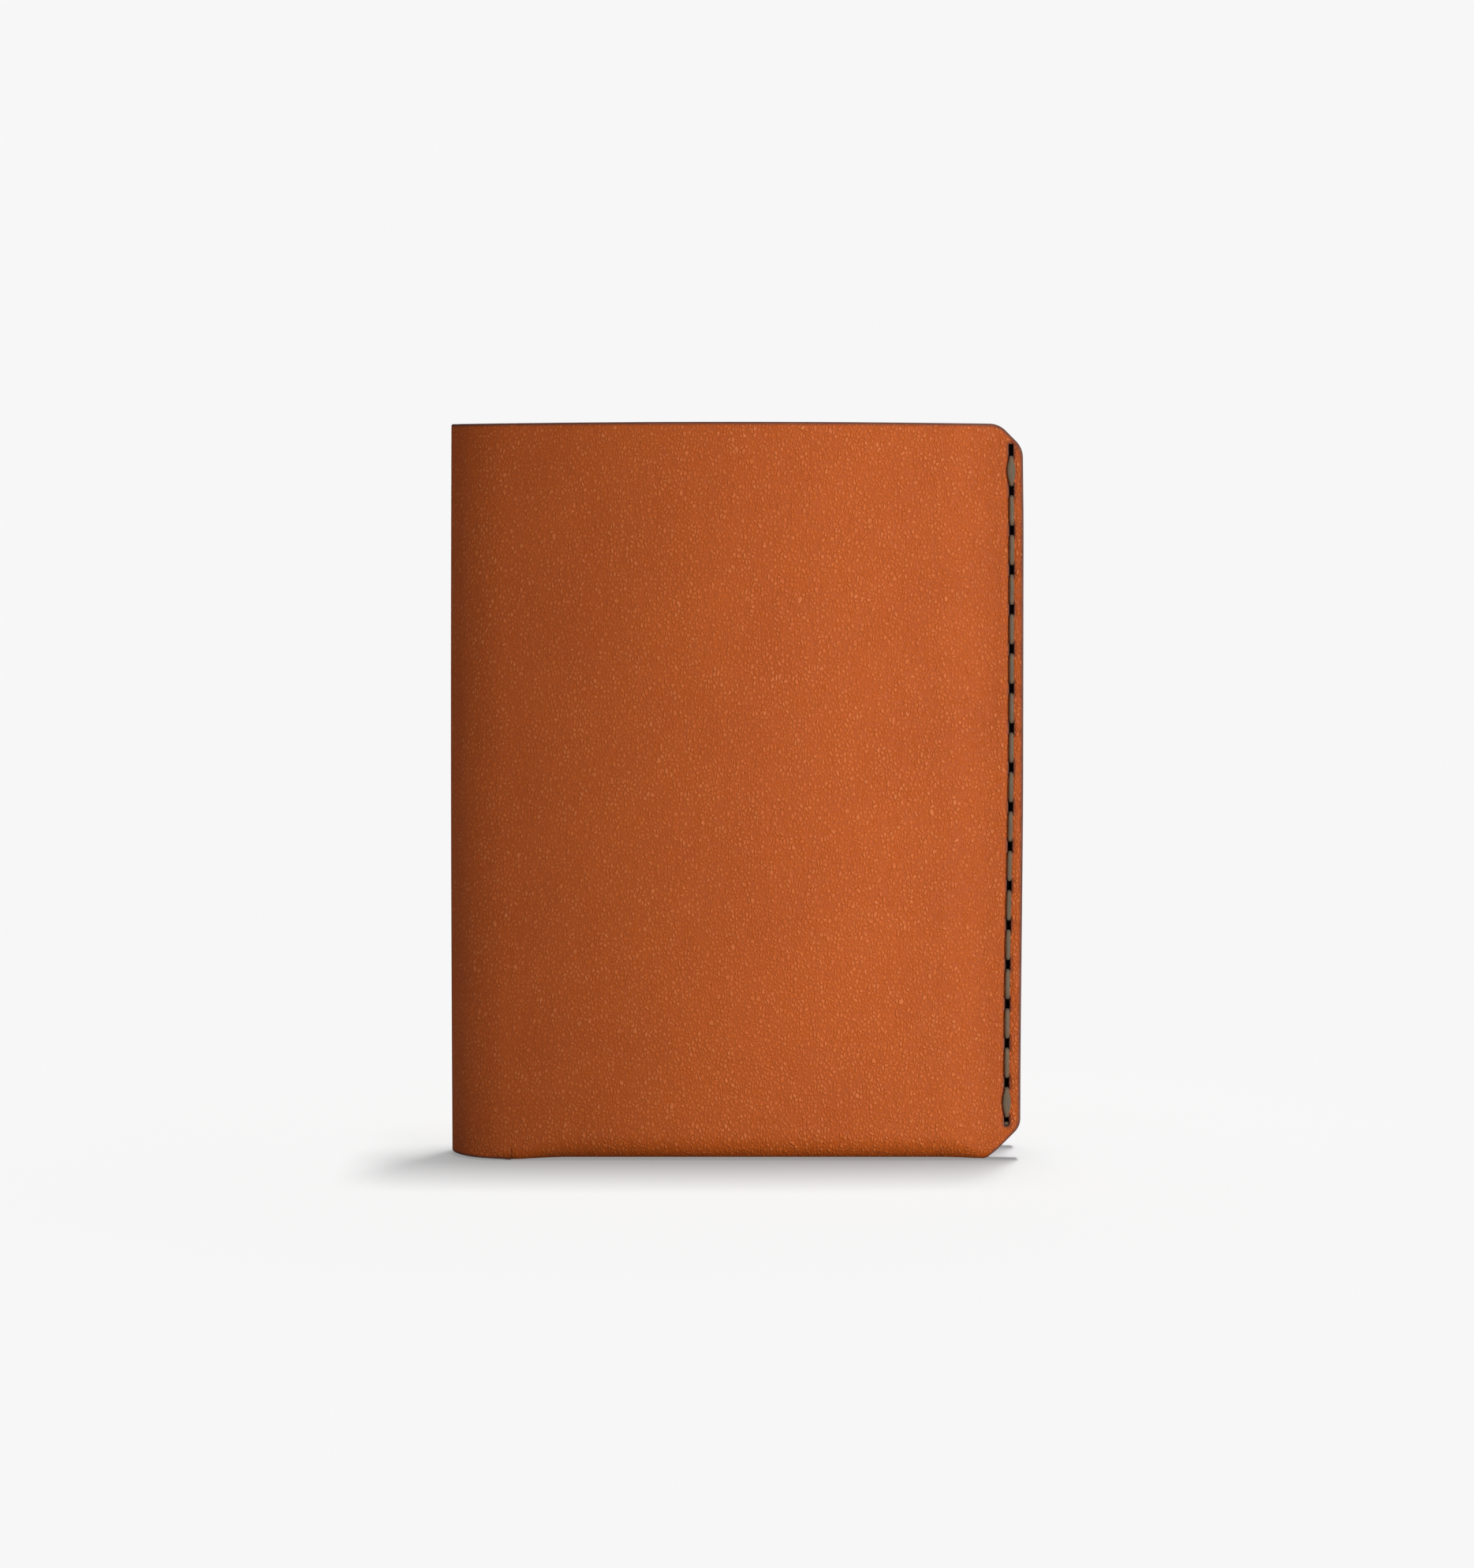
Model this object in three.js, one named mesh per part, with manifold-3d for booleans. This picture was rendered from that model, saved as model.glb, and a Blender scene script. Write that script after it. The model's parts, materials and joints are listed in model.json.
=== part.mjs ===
// Bifold leather card holder, closed, standing on its folded bottom edge.
// Millimetres, +Z up, front cover towards -Y, spine at -X, stitched seam at +X.
// The origin is the middle of the footprint, on the surface that it stands on.
//
// Each half is one stretch of leather that hangs from the spine, turns up at the bottom and
// comes back up as a pocket wall, and is sewn to itself along the outer edge. The leather is
// split into nodes at its fold lines, because a fold line is where it bends or changes shape.
import * as THREE from "three";
import { mergeVertices } from "three/addons/utils/BufferGeometryUtils.js";
import Module from "manifold-3d";

const wasm = await Module();
wasm.setup();

// ---------------------------------------------------------------- driving dimensions

const WIDTH = 72.5; // outside of the spine to the cut edge at the seam
const HEIGHT = 93; // bottom fold to the top edge: a card on end and a margin to pull it out by
const LEATHER = 1.3; // thickness of the leather
const POCKET_GAP = 4.4; // room for cards between a cover and its pocket wall
const CLOSED_GAP = 0.6; // between the two pocket walls when the holder is shut

const SEAM_LAND = 3.3; // width over which cover and pocket wall lie flat on each other
const SEAM_RAMP = 7; // width over which they come together
const COVER_SET_IN = 0.8; // how far the cover dips at the seam: the pocket wall does the rest

const POCKET_EDGE = 0.5; // from the end of the spine's turn to the pocket wall's free edge
const SPINE_LIFT = 0.4; // the spine's bottom edge is cut this much short of the fold
const STRIP_GAP = 0.6; // between the strips that the turning spine is divided into
const FOLD_LINE = 0.1; // gap kept between nodes that meet along a fold line

const TOP_CHAMFER = 3;
const TOP_FILLET = 2.7;
const BOTTOM_CHAMFER = 4.2;
const BOTTOM_FILLET = 1;
const BOTTOM_SIDE_FILLET = 2.5;

const STITCH_MARGIN = 1.5; // from the cut edge to the middle of the stitch line
const STITCH_PITCH = 5; // aimed at: a whole number of stitches fills the line
const TOP_MARGIN = 3.4; // from the top edge to the middle of the first hole
const BOTTOM_MARGIN = 4.8; // from the bottom fold to the middle of the last hole
const SLOT_LENGTH = 1.9;
const SLOT_WIDTH = 0.76;

const THREAD_WIDTH = 0.7; // the waxed thread lies flat
const THREAD_THICKNESS = 0.44;
const TIED_STITCH_WIDTH = 1.06; // the first and the last stitch are sewn twice
const THREAD_CLEARANCE = 0.04;

// ---------------------------------------------------------------- worked out from them

const DEPTH = CLOSED_GAP / 2 + 2 * LEATHER + POCKET_GAP; // centre plane to a cover's outside
const SEAM_X = WIDTH / 2;
const TURN_RADIUS = DEPTH - LEATHER / 2; // the spine's turn, at the middle of the leather
const TURN_X = DEPTH - WIDTH / 2; // the spine turns about this vertical line, at y = 0
const FOLD_HEIGHT = POCKET_GAP / 2 + LEATHER; // the bottom fold's outer radius
const LAND_X = SEAM_X - SEAM_LAND;
const RAMP_X = LAND_X - SEAM_RAMP;
const FOLD_START_X = TURN_X + POCKET_EDGE;
const FOLD_END_X = SEAM_X - BOTTOM_CHAMFER - 0.2 * LEATHER;
const STITCH_X = SEAM_X - STITCH_MARGIN;

const STRIPS = 3;
const STRIP_TURN = Math.PI / (STRIPS + 1); // each fold line of the spine turns this much
const STRIP_GAP_TURN = STRIP_GAP / TURN_RADIUS;

const RAMP_STEPS = 6;
const TURN_STEPS = 5;
const FOLD_STEPS = 10;
const ARC_SEGMENTS = 4;
const THREAD_SIDES = 6;

// ---------------------------------------------------------------- solids

function toSolid(geometry) {
  const bare = geometry.clone();
  bare.deleteAttribute("normal");
  bare.deleteAttribute("uv");
  const merged = mergeVertices(bare, 1e-4);
  return new wasm.Manifold(
    new wasm.Mesh({
      numProp: 3,
      vertProperties: merged.getAttribute("position").array,
      triVerts: new Uint32Array(merged.index.array),
    }),
  );
}

function toGeometry(solid) {
  const mesh = solid.getMesh();
  const geometry = new THREE.BufferGeometry();
  geometry.setAttribute("position", new THREE.BufferAttribute(mesh.vertProperties, 3));
  geometry.setIndex(new THREE.BufferAttribute(mesh.triVerts, 1));
  return geometry.toNonIndexed();
}

// A slab of leather: its grid lines are at the values in us and vs, and place(u, v, w) says
// where each point goes, with w from -0.5 on the flesh side to 0.5 on the grain side.
function slab(us, vs, place) {
  const [columns, rows] = [us.length - 1, vs.length - 1];
  const geometry = new THREE.BoxGeometry(columns, rows, 1, columns, rows, 1);
  const position = geometry.getAttribute("position");
  for (let i = 0; i < position.count; i += 1) {
    const u = us[Math.round(position.getX(i) + columns / 2)];
    const v = vs[Math.round(position.getY(i) + rows / 2)];
    const point = place(u, v, position.getZ(i));
    position.setXYZ(i, point.x, point.y, point.z);
  }
  return toSolid(geometry);
}

// count + 1 values from a to b
const steps = (a, b, count) => Array.from({ length: count + 1 }, (_, i) => a + ((b - a) * i) / count);

// A closed outline through corners [x, z, fillet radius], extruded through the whole depth.
function prism(corners) {
  const shape = new THREE.Shape();
  corners.forEach(([x, z, radius], i) => {
    const corner = new THREE.Vector2(x, z);
    const [before, after] = [corners.at(i - 1), corners[(i + 1) % corners.length]];
    const inward = new THREE.Vector2(before[0], before[1]).sub(corner).normalize();
    const outward = new THREE.Vector2(after[0], after[1]).sub(corner).normalize();
    const reach = radius / Math.tan(Math.acos(inward.dot(outward)) / 2);
    const start = corner.clone().addScaledVector(inward, reach);
    const end = corner.clone().addScaledVector(outward, reach);
    if (i === 0) shape.moveTo(start.x, start.y);
    else shape.lineTo(start.x, start.y);
    if (radius > 0) shape.quadraticCurveTo(x, z, end.x, end.y);
  });
  return extrudedThrough(shape);
}

function extrudedThrough(shape) {
  const geometry = new THREE.ExtrudeGeometry(shape, {
    depth: 4 * DEPTH,
    bevelEnabled: false,
    curveSegments: ARC_SEGMENTS,
  });
  geometry.rotateX(Math.PI / 2).translate(0, 2 * DEPTH, 0);
  return toSolid(geometry);
}

// ---------------------------------------------------------------- where the leather lies

// 0 before the ramp, 1 on the seam's land, smooth in between.
const drawnIn = (x) => (1 - Math.cos(Math.PI * THREE.MathUtils.clamp((x - RAMP_X) / SEAM_RAMP, 0, 1))) / 2;
const drawnInSlope = (x) =>
  x > RAMP_X && x < LAND_X ? (Math.PI / 2 / SEAM_RAMP) * Math.sin((Math.PI * (x - RAMP_X)) / SEAM_RAMP) : 0;

// The middle of the front cover, and of its pocket wall, seen from above.
const coverY = (x) => -TURN_RADIUS + COVER_SET_IN * drawnIn(x);
const wallRise = POCKET_GAP - COVER_SET_IN;
const wallY = (x) => -(CLOSED_GAP + LEATHER) / 2 - wallRise * drawnIn(x);

// A point of a sheet that runs along y(x) with that slope; the grain side faces side * Y.
function onSheet(x, y, slope, z, w, side) {
  const normal = new THREE.Vector3(-slope * side, side, 0).normalize();
  return new THREE.Vector3(x, y, z).addScaledVector(normal, w * LEATHER);
}

// The front cover: u is x along the flat, and runs on round the spine's turn past TURN_X.
function onCover(u, z, w) {
  if (u >= TURN_X) return onSheet(u, coverY(u), COVER_SET_IN * drawnInSlope(u), z, w, -1);
  return onTurn((TURN_X - u) / TURN_RADIUS, z, w);
}

// The spine: turn is 0 at the front cover and PI at the back cover.
function onTurn(turn, z, w) {
  const radius = TURN_RADIUS + w * LEATHER;
  return new THREE.Vector3(TURN_X - radius * Math.sin(turn), -radius * Math.cos(turn), z);
}

// The pocket wall: v runs down, because the leather comes up from the fold.
const onWall = (x, v, w) => onSheet(x, wallY(x), -wallRise * drawnInSlope(x), -v, w, 1);

// The bottom fold: half an ellipse from the pocket wall, at angle 0, to the cover, at PI.
function onFold(x, angle, w) {
  const middle = (coverY(x) + wallY(x)) / 2;
  const halfWidth = (wallY(x) - coverY(x)) / 2 + w * LEATHER;
  const drop = FOLD_HEIGHT - LEATHER / 2 + w * LEATHER;
  return new THREE.Vector3(x, middle + halfWidth * Math.cos(angle), FOLD_HEIGHT - drop * Math.sin(angle));
}

// ---------------------------------------------------------------- stitching

const HOLES = 1 + Math.round((HEIGHT - TOP_MARGIN - BOTTOM_MARGIN) / STITCH_PITCH);
const holeHeights = steps(HEIGHT - TOP_MARGIN, BOTTOM_MARGIN, HOLES - 1);

function slot(z) {
  const shape = new THREE.Shape();
  const radius = SLOT_WIDTH / 2;
  const reach = SLOT_LENGTH / 2 - radius;
  shape.absarc(STITCH_X, z + reach, radius, 0, Math.PI, false);
  shape.absarc(STITCH_X, z - reach, radius, Math.PI, 2 * Math.PI, false);
  return extrudedThrough(shape);
}

// A strand lies along one face of the seam and dips into every hole to meet the other
// strand half way through. The stations are [z, height over the face, width].
function strandStations() {
  const lying = THREAD_THICKNESS / 2 + THREAD_CLEARANCE;
  const dipped = lying + THREAD_CLEARANCE - LEATHER;
  const leg = (SLOT_LENGTH - THREAD_THICKNESS) / 2 - THREAD_CLEARANCE;
  const legWidth = SLOT_WIDTH - 2 * THREAD_CLEARANCE;
  const bend = THREAD_THICKNESS / 2;
  const stations = [];
  const add = (z, height, width) => stations.push([z, height, width]);
  holeHeights.forEach((z, hole) => {
    const isFirst = hole === 0;
    const isLast = hole === HOLES - 1;
    if (!isFirst) {
      add(z + leg, lying - bend, legWidth);
      add(z + leg, dipped + bend, legWidth);
    }
    if (!isFirst && !isLast) {
      add(z + leg - bend, dipped, legWidth);
      add(z - leg + bend, dipped, legWidth);
    }
    if (!isLast) {
      const next = holeHeights[hole + 1];
      const width = isFirst || hole === HOLES - 2 ? TIED_STITCH_WIDTH : THREAD_WIDTH;
      add(z - leg, dipped + bend, legWidth);
      add(z - leg, lying - bend, legWidth);
      add(z - leg - bend, lying, legWidth);
      add(THREE.MathUtils.lerp(z - leg, next + leg, 0.3), lying, width);
      add(THREE.MathUtils.lerp(z - leg, next + leg, 0.7), lying, width);
      add(next + leg + bend, lying, legWidth);
    }
  });
  return stations;
}

// A flattened tube through the stations, on a face whose outside is at faceY, facing side * Y.
function strand(faceY, side) {
  const stations = strandStations().map(([z, height, width]) => ({
    middle: new THREE.Vector3(STITCH_X, faceY + side * height, z),
    width,
  }));
  const last = stations.length - 1;
  const geometry = new THREE.CylinderGeometry(0.5, 0.5, last, THREAD_SIDES, last);
  const position = geometry.getAttribute("position");
  const across = new THREE.Vector3(1, 0, 0);
  for (let i = 0; i < position.count; i += 1) {
    const at = Math.round(last / 2 - position.getY(i));
    const { middle, width } = stations[at];
    const into = middle.clone().sub(stations[Math.max(at - 1, 0)].middle).normalize();
    const outOf = stations[Math.min(at + 1, last)].middle.clone().sub(middle).normalize();
    const along = into.clone().add(outOf).normalize();
    const thick = new THREE.Vector3().crossVectors(along, across);
    const miter = 1 / Math.max(along.dot(into), along.dot(outOf));
    const point = middle.clone();
    point.addScaledVector(across, position.getX(i) * width);
    point.addScaledVector(thick, position.getZ(i) * THREAD_THICKNESS * miter);
    position.setXYZ(i, point.x, point.y, point.z);
  }
  return toSolid(geometry);
}

// ---------------------------------------------------------------- materials

const grain = new THREE.MeshStandardMaterial({ color: 0xb5541f, roughness: 0.52, metalness: 0 });
const thread = new THREE.MeshStandardMaterial({ color: 0x7d6a50, roughness: 0.6, metalness: 0 });

function node(name, solid, material) {
  const mesh = new THREE.Mesh(toGeometry(solid), material);
  mesh.name = name;
  return mesh;
}

// ---------------------------------------------------------------- one half

const rampXs = steps(RAMP_X, LAND_X, RAMP_STEPS);
const turnEnd = STRIP_TURN / 2 - STRIP_GAP_TURN / 2;

// The cut shape of cover and pocket wall, seen from the front: both outer corners are cut off.
function cutShape() {
  const left = -WIDTH;
  return prism([
    [left, HEIGHT, 0],
    [left, 0, 0],
    [SEAM_X - BOTTOM_CHAMFER, 0, BOTTOM_FILLET],
    [SEAM_X, BOTTOM_CHAMFER, BOTTOM_SIDE_FILLET],
    [SEAM_X, HEIGHT - TOP_CHAMFER, TOP_FILLET],
    [SEAM_X - TOP_CHAMFER, HEIGHT, TOP_FILLET],
  ]);
}

function cut(solid, outline, slots) {
  return slots.reduce((left, hole) => left.subtract(hole), solid.intersect(outline));
}

// Everything under the fold line that the bottom fold takes the place of.
function foldRoom() {
  return prism([
    [FOLD_START_X - FOLD_LINE, FOLD_HEIGHT + FOLD_LINE, 0],
    [FOLD_START_X - FOLD_LINE, -HEIGHT, 0],
    [FOLD_END_X + FOLD_LINE, -HEIGHT, 0],
    [FOLD_END_X + FOLD_LINE, FOLD_HEIGHT + FOLD_LINE, 0],
  ]);
}

function cover(outline, slots) {
  const turns = steps(-turnEnd, 0, TURN_STEPS).map((turn) => TURN_X + turn * TURN_RADIUS);
  const whole = slab([...turns, ...rampXs, SEAM_X], [0, HEIGHT], onCover);
  const short = prism([
    [-WIDTH, SPINE_LIFT, 0],
    [-WIDTH, -HEIGHT, 0],
    [FOLD_START_X, -HEIGHT, 0],
    [FOLD_START_X, SPINE_LIFT, 0],
  ]);
  return cut(whole, outline, slots).subtract(short).subtract(foldRoom());
}

function pocketWall(outline, slots) {
  const whole = slab([FOLD_START_X, ...rampXs, SEAM_X], [-HEIGHT, 0], onWall);
  return cut(whole, outline, slots).subtract(foldRoom());
}

function bottomFold() {
  const xs = [FOLD_START_X, ...rampXs.filter((x) => x < FOLD_END_X - FOLD_LINE), FOLD_END_X];
  return slab(xs, steps(0, Math.PI, FOLD_STEPS), onFold);
}

const outline = cutShape();
const slots = holeHeights.map(slot);
const coverFace = coverY(SEAM_X) - LEATHER / 2;
const wallFace = wallY(SEAM_X) + LEATHER / 2;
const leatherSolids = {
  panel: cover(outline, slots),
  bottom_fold: bottomFold(),
  pocket: pocketWall(outline, slots),
};
const threadSolids = {
  seam_outer_strand: strand(coverFace, -1),
  seam_inner_strand: strand(wallFace, 1),
};

// The back half is the front half's mirror image.
function half(side) {
  const facing = (solid) => (side === "back" ? solid.mirror([0, 1, 0]) : solid);
  const group = new THREE.Group();
  for (const [solids, material] of [[leatherSolids, grain], [threadSolids, thread]])
    for (const [name, solid] of Object.entries(solids))
      group.add(node(`${side}_${name}`, facing(solid), material));
  return group;
}

// ---------------------------------------------------------------- spine

// Strip number 0 is next to the front cover. Each is held by fold lines at both its edges.
function spineStrip(number) {
  const from = STRIP_TURN * (number + 0.5) + STRIP_GAP_TURN / 2;
  const to = STRIP_TURN * (number + 1.5) - STRIP_GAP_TURN / 2;
  const turns = steps(to, from, 2 * TURN_STEPS);
  return slab(turns, [SPINE_LIFT, HEIGHT], onTurn);
}

// ---------------------------------------------------------------- the card holder

const cardHolder = new THREE.Group();
cardHolder.add(half("front"), half("back"));
["spine_front_strip", "spine_middle_strip", "spine_back_strip"].forEach((name, number) => {
  cardHolder.add(node(name, spineStrip(number), grain));
});

export default cardHolder;
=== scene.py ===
"""Looks of a bifold leather card holder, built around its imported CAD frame.

The holder is cut from one piece of leather: a front cover, a rounded spine and a back cover.
Each cover turns up at the bottom and comes back up inside as a card pocket, and is sewn to it
along the outer edge with one waxed thread. The leather is drawn flat, as it is cut, and a
folding function lays every point of it in its place.
"""

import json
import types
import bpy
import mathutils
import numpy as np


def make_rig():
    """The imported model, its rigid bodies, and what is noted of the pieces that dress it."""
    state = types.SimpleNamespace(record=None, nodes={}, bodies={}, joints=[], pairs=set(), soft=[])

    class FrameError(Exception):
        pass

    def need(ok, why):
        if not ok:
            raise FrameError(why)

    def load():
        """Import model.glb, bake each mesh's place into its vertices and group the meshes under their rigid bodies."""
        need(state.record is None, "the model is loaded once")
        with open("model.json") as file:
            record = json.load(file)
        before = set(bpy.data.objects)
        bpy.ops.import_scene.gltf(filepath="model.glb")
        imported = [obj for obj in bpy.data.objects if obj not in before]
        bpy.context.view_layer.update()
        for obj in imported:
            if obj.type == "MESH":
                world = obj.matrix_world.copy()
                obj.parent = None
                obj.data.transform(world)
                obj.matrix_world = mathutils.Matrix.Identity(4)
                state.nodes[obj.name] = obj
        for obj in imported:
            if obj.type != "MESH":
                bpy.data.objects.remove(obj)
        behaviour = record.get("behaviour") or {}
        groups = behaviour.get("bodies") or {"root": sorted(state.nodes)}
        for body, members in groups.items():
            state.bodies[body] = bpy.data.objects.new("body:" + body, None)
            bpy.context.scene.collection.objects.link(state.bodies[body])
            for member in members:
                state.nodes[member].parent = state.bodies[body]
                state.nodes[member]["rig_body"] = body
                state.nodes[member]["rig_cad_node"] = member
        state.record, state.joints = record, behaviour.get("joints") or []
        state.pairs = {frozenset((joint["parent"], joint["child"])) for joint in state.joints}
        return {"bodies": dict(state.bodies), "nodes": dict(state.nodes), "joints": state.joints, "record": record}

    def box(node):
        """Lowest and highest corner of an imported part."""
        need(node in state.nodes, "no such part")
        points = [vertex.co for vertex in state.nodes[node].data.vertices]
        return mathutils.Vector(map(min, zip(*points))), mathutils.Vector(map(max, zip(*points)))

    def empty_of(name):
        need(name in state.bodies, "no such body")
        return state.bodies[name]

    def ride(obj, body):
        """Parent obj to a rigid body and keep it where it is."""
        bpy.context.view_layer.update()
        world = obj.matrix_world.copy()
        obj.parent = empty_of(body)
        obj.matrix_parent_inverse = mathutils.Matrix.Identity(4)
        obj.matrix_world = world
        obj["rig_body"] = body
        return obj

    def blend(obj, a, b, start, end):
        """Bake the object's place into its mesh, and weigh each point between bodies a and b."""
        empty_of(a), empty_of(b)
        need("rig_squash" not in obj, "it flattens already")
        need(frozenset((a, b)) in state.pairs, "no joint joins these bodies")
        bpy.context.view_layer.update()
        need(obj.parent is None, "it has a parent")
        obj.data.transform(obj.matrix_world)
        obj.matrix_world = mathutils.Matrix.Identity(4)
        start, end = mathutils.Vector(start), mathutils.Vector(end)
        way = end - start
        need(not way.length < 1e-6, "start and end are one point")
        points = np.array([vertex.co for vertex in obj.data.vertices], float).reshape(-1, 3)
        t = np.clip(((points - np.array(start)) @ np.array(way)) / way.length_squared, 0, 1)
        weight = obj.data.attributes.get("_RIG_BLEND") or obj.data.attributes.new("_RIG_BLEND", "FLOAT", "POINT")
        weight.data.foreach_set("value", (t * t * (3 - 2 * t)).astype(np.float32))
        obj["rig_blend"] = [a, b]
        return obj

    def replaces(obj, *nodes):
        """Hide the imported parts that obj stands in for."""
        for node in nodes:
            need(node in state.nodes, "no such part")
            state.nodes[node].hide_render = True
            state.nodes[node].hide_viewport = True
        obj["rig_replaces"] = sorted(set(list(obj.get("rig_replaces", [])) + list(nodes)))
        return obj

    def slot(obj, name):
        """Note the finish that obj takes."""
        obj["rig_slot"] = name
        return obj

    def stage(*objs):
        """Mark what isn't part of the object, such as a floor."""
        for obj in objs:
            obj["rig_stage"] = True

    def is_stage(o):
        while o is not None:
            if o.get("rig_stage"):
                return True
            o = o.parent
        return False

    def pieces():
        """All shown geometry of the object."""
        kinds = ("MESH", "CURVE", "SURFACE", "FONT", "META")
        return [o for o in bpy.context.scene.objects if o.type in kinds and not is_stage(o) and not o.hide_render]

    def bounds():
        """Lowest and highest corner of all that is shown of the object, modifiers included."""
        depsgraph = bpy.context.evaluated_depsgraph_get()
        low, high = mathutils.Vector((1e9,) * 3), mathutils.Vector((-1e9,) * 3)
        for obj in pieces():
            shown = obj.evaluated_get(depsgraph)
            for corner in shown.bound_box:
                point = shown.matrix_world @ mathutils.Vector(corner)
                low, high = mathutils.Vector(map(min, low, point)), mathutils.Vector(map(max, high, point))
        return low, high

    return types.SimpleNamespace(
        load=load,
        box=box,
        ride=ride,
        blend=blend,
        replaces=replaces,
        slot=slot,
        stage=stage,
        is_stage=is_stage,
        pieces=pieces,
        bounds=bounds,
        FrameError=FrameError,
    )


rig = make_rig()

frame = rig.load()

import json
import logging
import math
from dataclasses import dataclass
from enum import Enum, IntEnum

import bpy
import numpy as np
from mathutils import Vector
from mathutils.geometry import delaunay_2d_cdt

MM = 0.001
SIZE_FILE = "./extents.json"
PLACE = "flat_place"
RIM = "rim_distance"

FOLD_TURN = math.pi / 4
THREAD_SLOT = 0

Colour = tuple[float, float, float]
Point = tuple[float, float, float]

log = logging.getLogger("card_holder")


class Side(Enum):
    """Which half of the holder a piece belongs to."""

    FRONT = "front"
    BACK = "back"


class Finish(IntEnum):
    """Material slots that every leather mesh has, in this order."""

    GRAIN = 0
    FLESH = 1
    EDGE = 2


class Face(Enum):
    """The two faces of a seam that thread lies on."""

    OUTER = "outer"
    INNER = "inner"


def smoothstep(x: np.ndarray | float) -> np.ndarray:
    """Returns 0 below 0, 1 above 1, and an even rise between them."""
    t = np.clip(x, 0.0, 1.0)
    return t * t * (3 - 2 * t)


# ------------------------------------------------------------------ sizes


@dataclass(frozen=True)
class HolderSizes:
    """Sizes shared by the whole holder, in metres, read from the frame where it has them."""

    seam_x: float
    height: float
    depth: float
    fold_height: float
    fold_start: float
    wall_inside: float
    stitch_x: float
    top_hole: float
    bottom_hole: float
    leather: float = 1.3 * MM
    seam_land: float = 3.3 * MM
    seam_ramp: float = 7.0 * MM
    set_in: float = 0.8 * MM
    spine_lift: float = 0.3 * MM
    slot_length: float = 1.95 * MM
    thread_end: float = 0.47 * MM
    holes: int = 18

    @classmethod
    def from_frame(cls) -> "HolderSizes":
        """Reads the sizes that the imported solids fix.

        Returns:
            The sizes, for the half that faces -Y.
        """
        _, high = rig.bounds()
        fold_low, fold_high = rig.box("front_bottom_fold")
        strand_low, strand_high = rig.box("front_seam_outer_strand")
        return cls(
            seam_x=high.x,
            height=high.z,
            depth=high.y,
            fold_height=fold_high.z,
            fold_start=fold_low.x,
            wall_inside=-fold_high.y,
            stitch_x=(strand_low.x + strand_high.x) / 2,
            top_hole=strand_high.z + cls.thread_end,
            bottom_hole=strand_low.z - cls.thread_end,
        )

    @property
    def turn_radius(self) -> float:
        """Radius of the spine at the middle of the leather."""
        return self.depth - self.leather / 2

    @property
    def turn_x(self) -> float:
        """Where the flat cover ends and the spine starts to turn."""
        return self.depth - self.seam_x

    @property
    def pocket_gap(self) -> float:
        """Room between a cover and its pocket wall."""
        return self.depth - self.wall_inside - 2 * self.leather

    @property
    def hole_heights(self) -> np.ndarray:
        """Heights of the stitch holes, from the top down."""
        return np.linspace(self.top_hole, self.bottom_hole, self.holes)


# ------------------------------------------------------------------ where the leather lies


@dataclass(frozen=True)
class SoftShape:
    """How the made-up holder stands off its drawn shape, as soft leather does."""

    sizes: HolderSizes
    crown: float = 0.8 * MM
    arch: float = 0.3 * MM
    wave: float = 0.04 * MM
    seam_lean: float = 0.3 * MM
    stitch_drift: float = 0.25 * MM

    def swell(self, x: np.ndarray, z: np.ndarray) -> np.ndarray:
        """How far a cover and its side of the spine stand proud, widest in the middle.

        Args:
            x: Places across the holder.
            z: Heights.

        Returns:
            Distances away from the holder's middle plane.
        """
        s = self.sizes
        rise = np.clip((x + s.seam_x) / (0.9 * s.seam_x), 0, 1)
        fall = np.clip((s.seam_x - s.seam_land - 0.5 * s.seam_ramp - x) / (0.65 * s.seam_x), 0, 1)
        across = np.sin(np.pi / 2 * rise) ** 2 * np.sin(np.pi / 2 * fall) ** 2
        settle = smoothstep((z - s.fold_height) / (0.3 * s.height))
        down = settle * (0.8 + 0.2 * np.sin(np.pi * z / s.height))
        ripple = np.sin(210 * x + 0.9 * np.sin(70 * z)) * np.sin(130 * z + 50 * x + 1.0)
        return across * (self.crown * down + self.wave * ripple * settle)

    def raised(self, x: np.ndarray, z: np.ndarray) -> np.ndarray:
        """Slight arch of the top edge.

        Args:
            x: Places across the holder.
            z: Heights.

        Returns:
            Rises, none in the lower half.
        """
        s = self.sizes
        high = smoothstep((z - 0.5 * s.height) / (0.5 * s.height))
        return self.arch * (1 - (x / s.seam_x) ** 2) * high

    def lean(self, u: np.ndarray, z: np.ndarray) -> np.ndarray:
        """Sideways set of the seam, which was not pressed quite straight.

        Args:
            u: Places across the flat leather.
            z: Heights.

        Returns:
            Moves along x, towards the spine.
        """
        s = self.sizes
        low = smoothstep((0.55 * s.height - z) / (0.5 * s.height))
        high = smoothstep((z - 0.85 * s.height) / (0.15 * s.height))
        across = smoothstep((u - 0.2 * s.seam_x) / (0.7 * s.seam_x))
        return -self.seam_lean * (low + 0.4 * high) * across

    def stitch_line(self, z: np.ndarray | float) -> np.ndarray:
        """u of the stitch line, which drifts a little from the edge towards the bottom."""
        s = self.sizes
        return s.stitch_x - self.stitch_drift * smoothstep((0.62 * s.height - z) / (0.4 * s.height))


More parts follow.
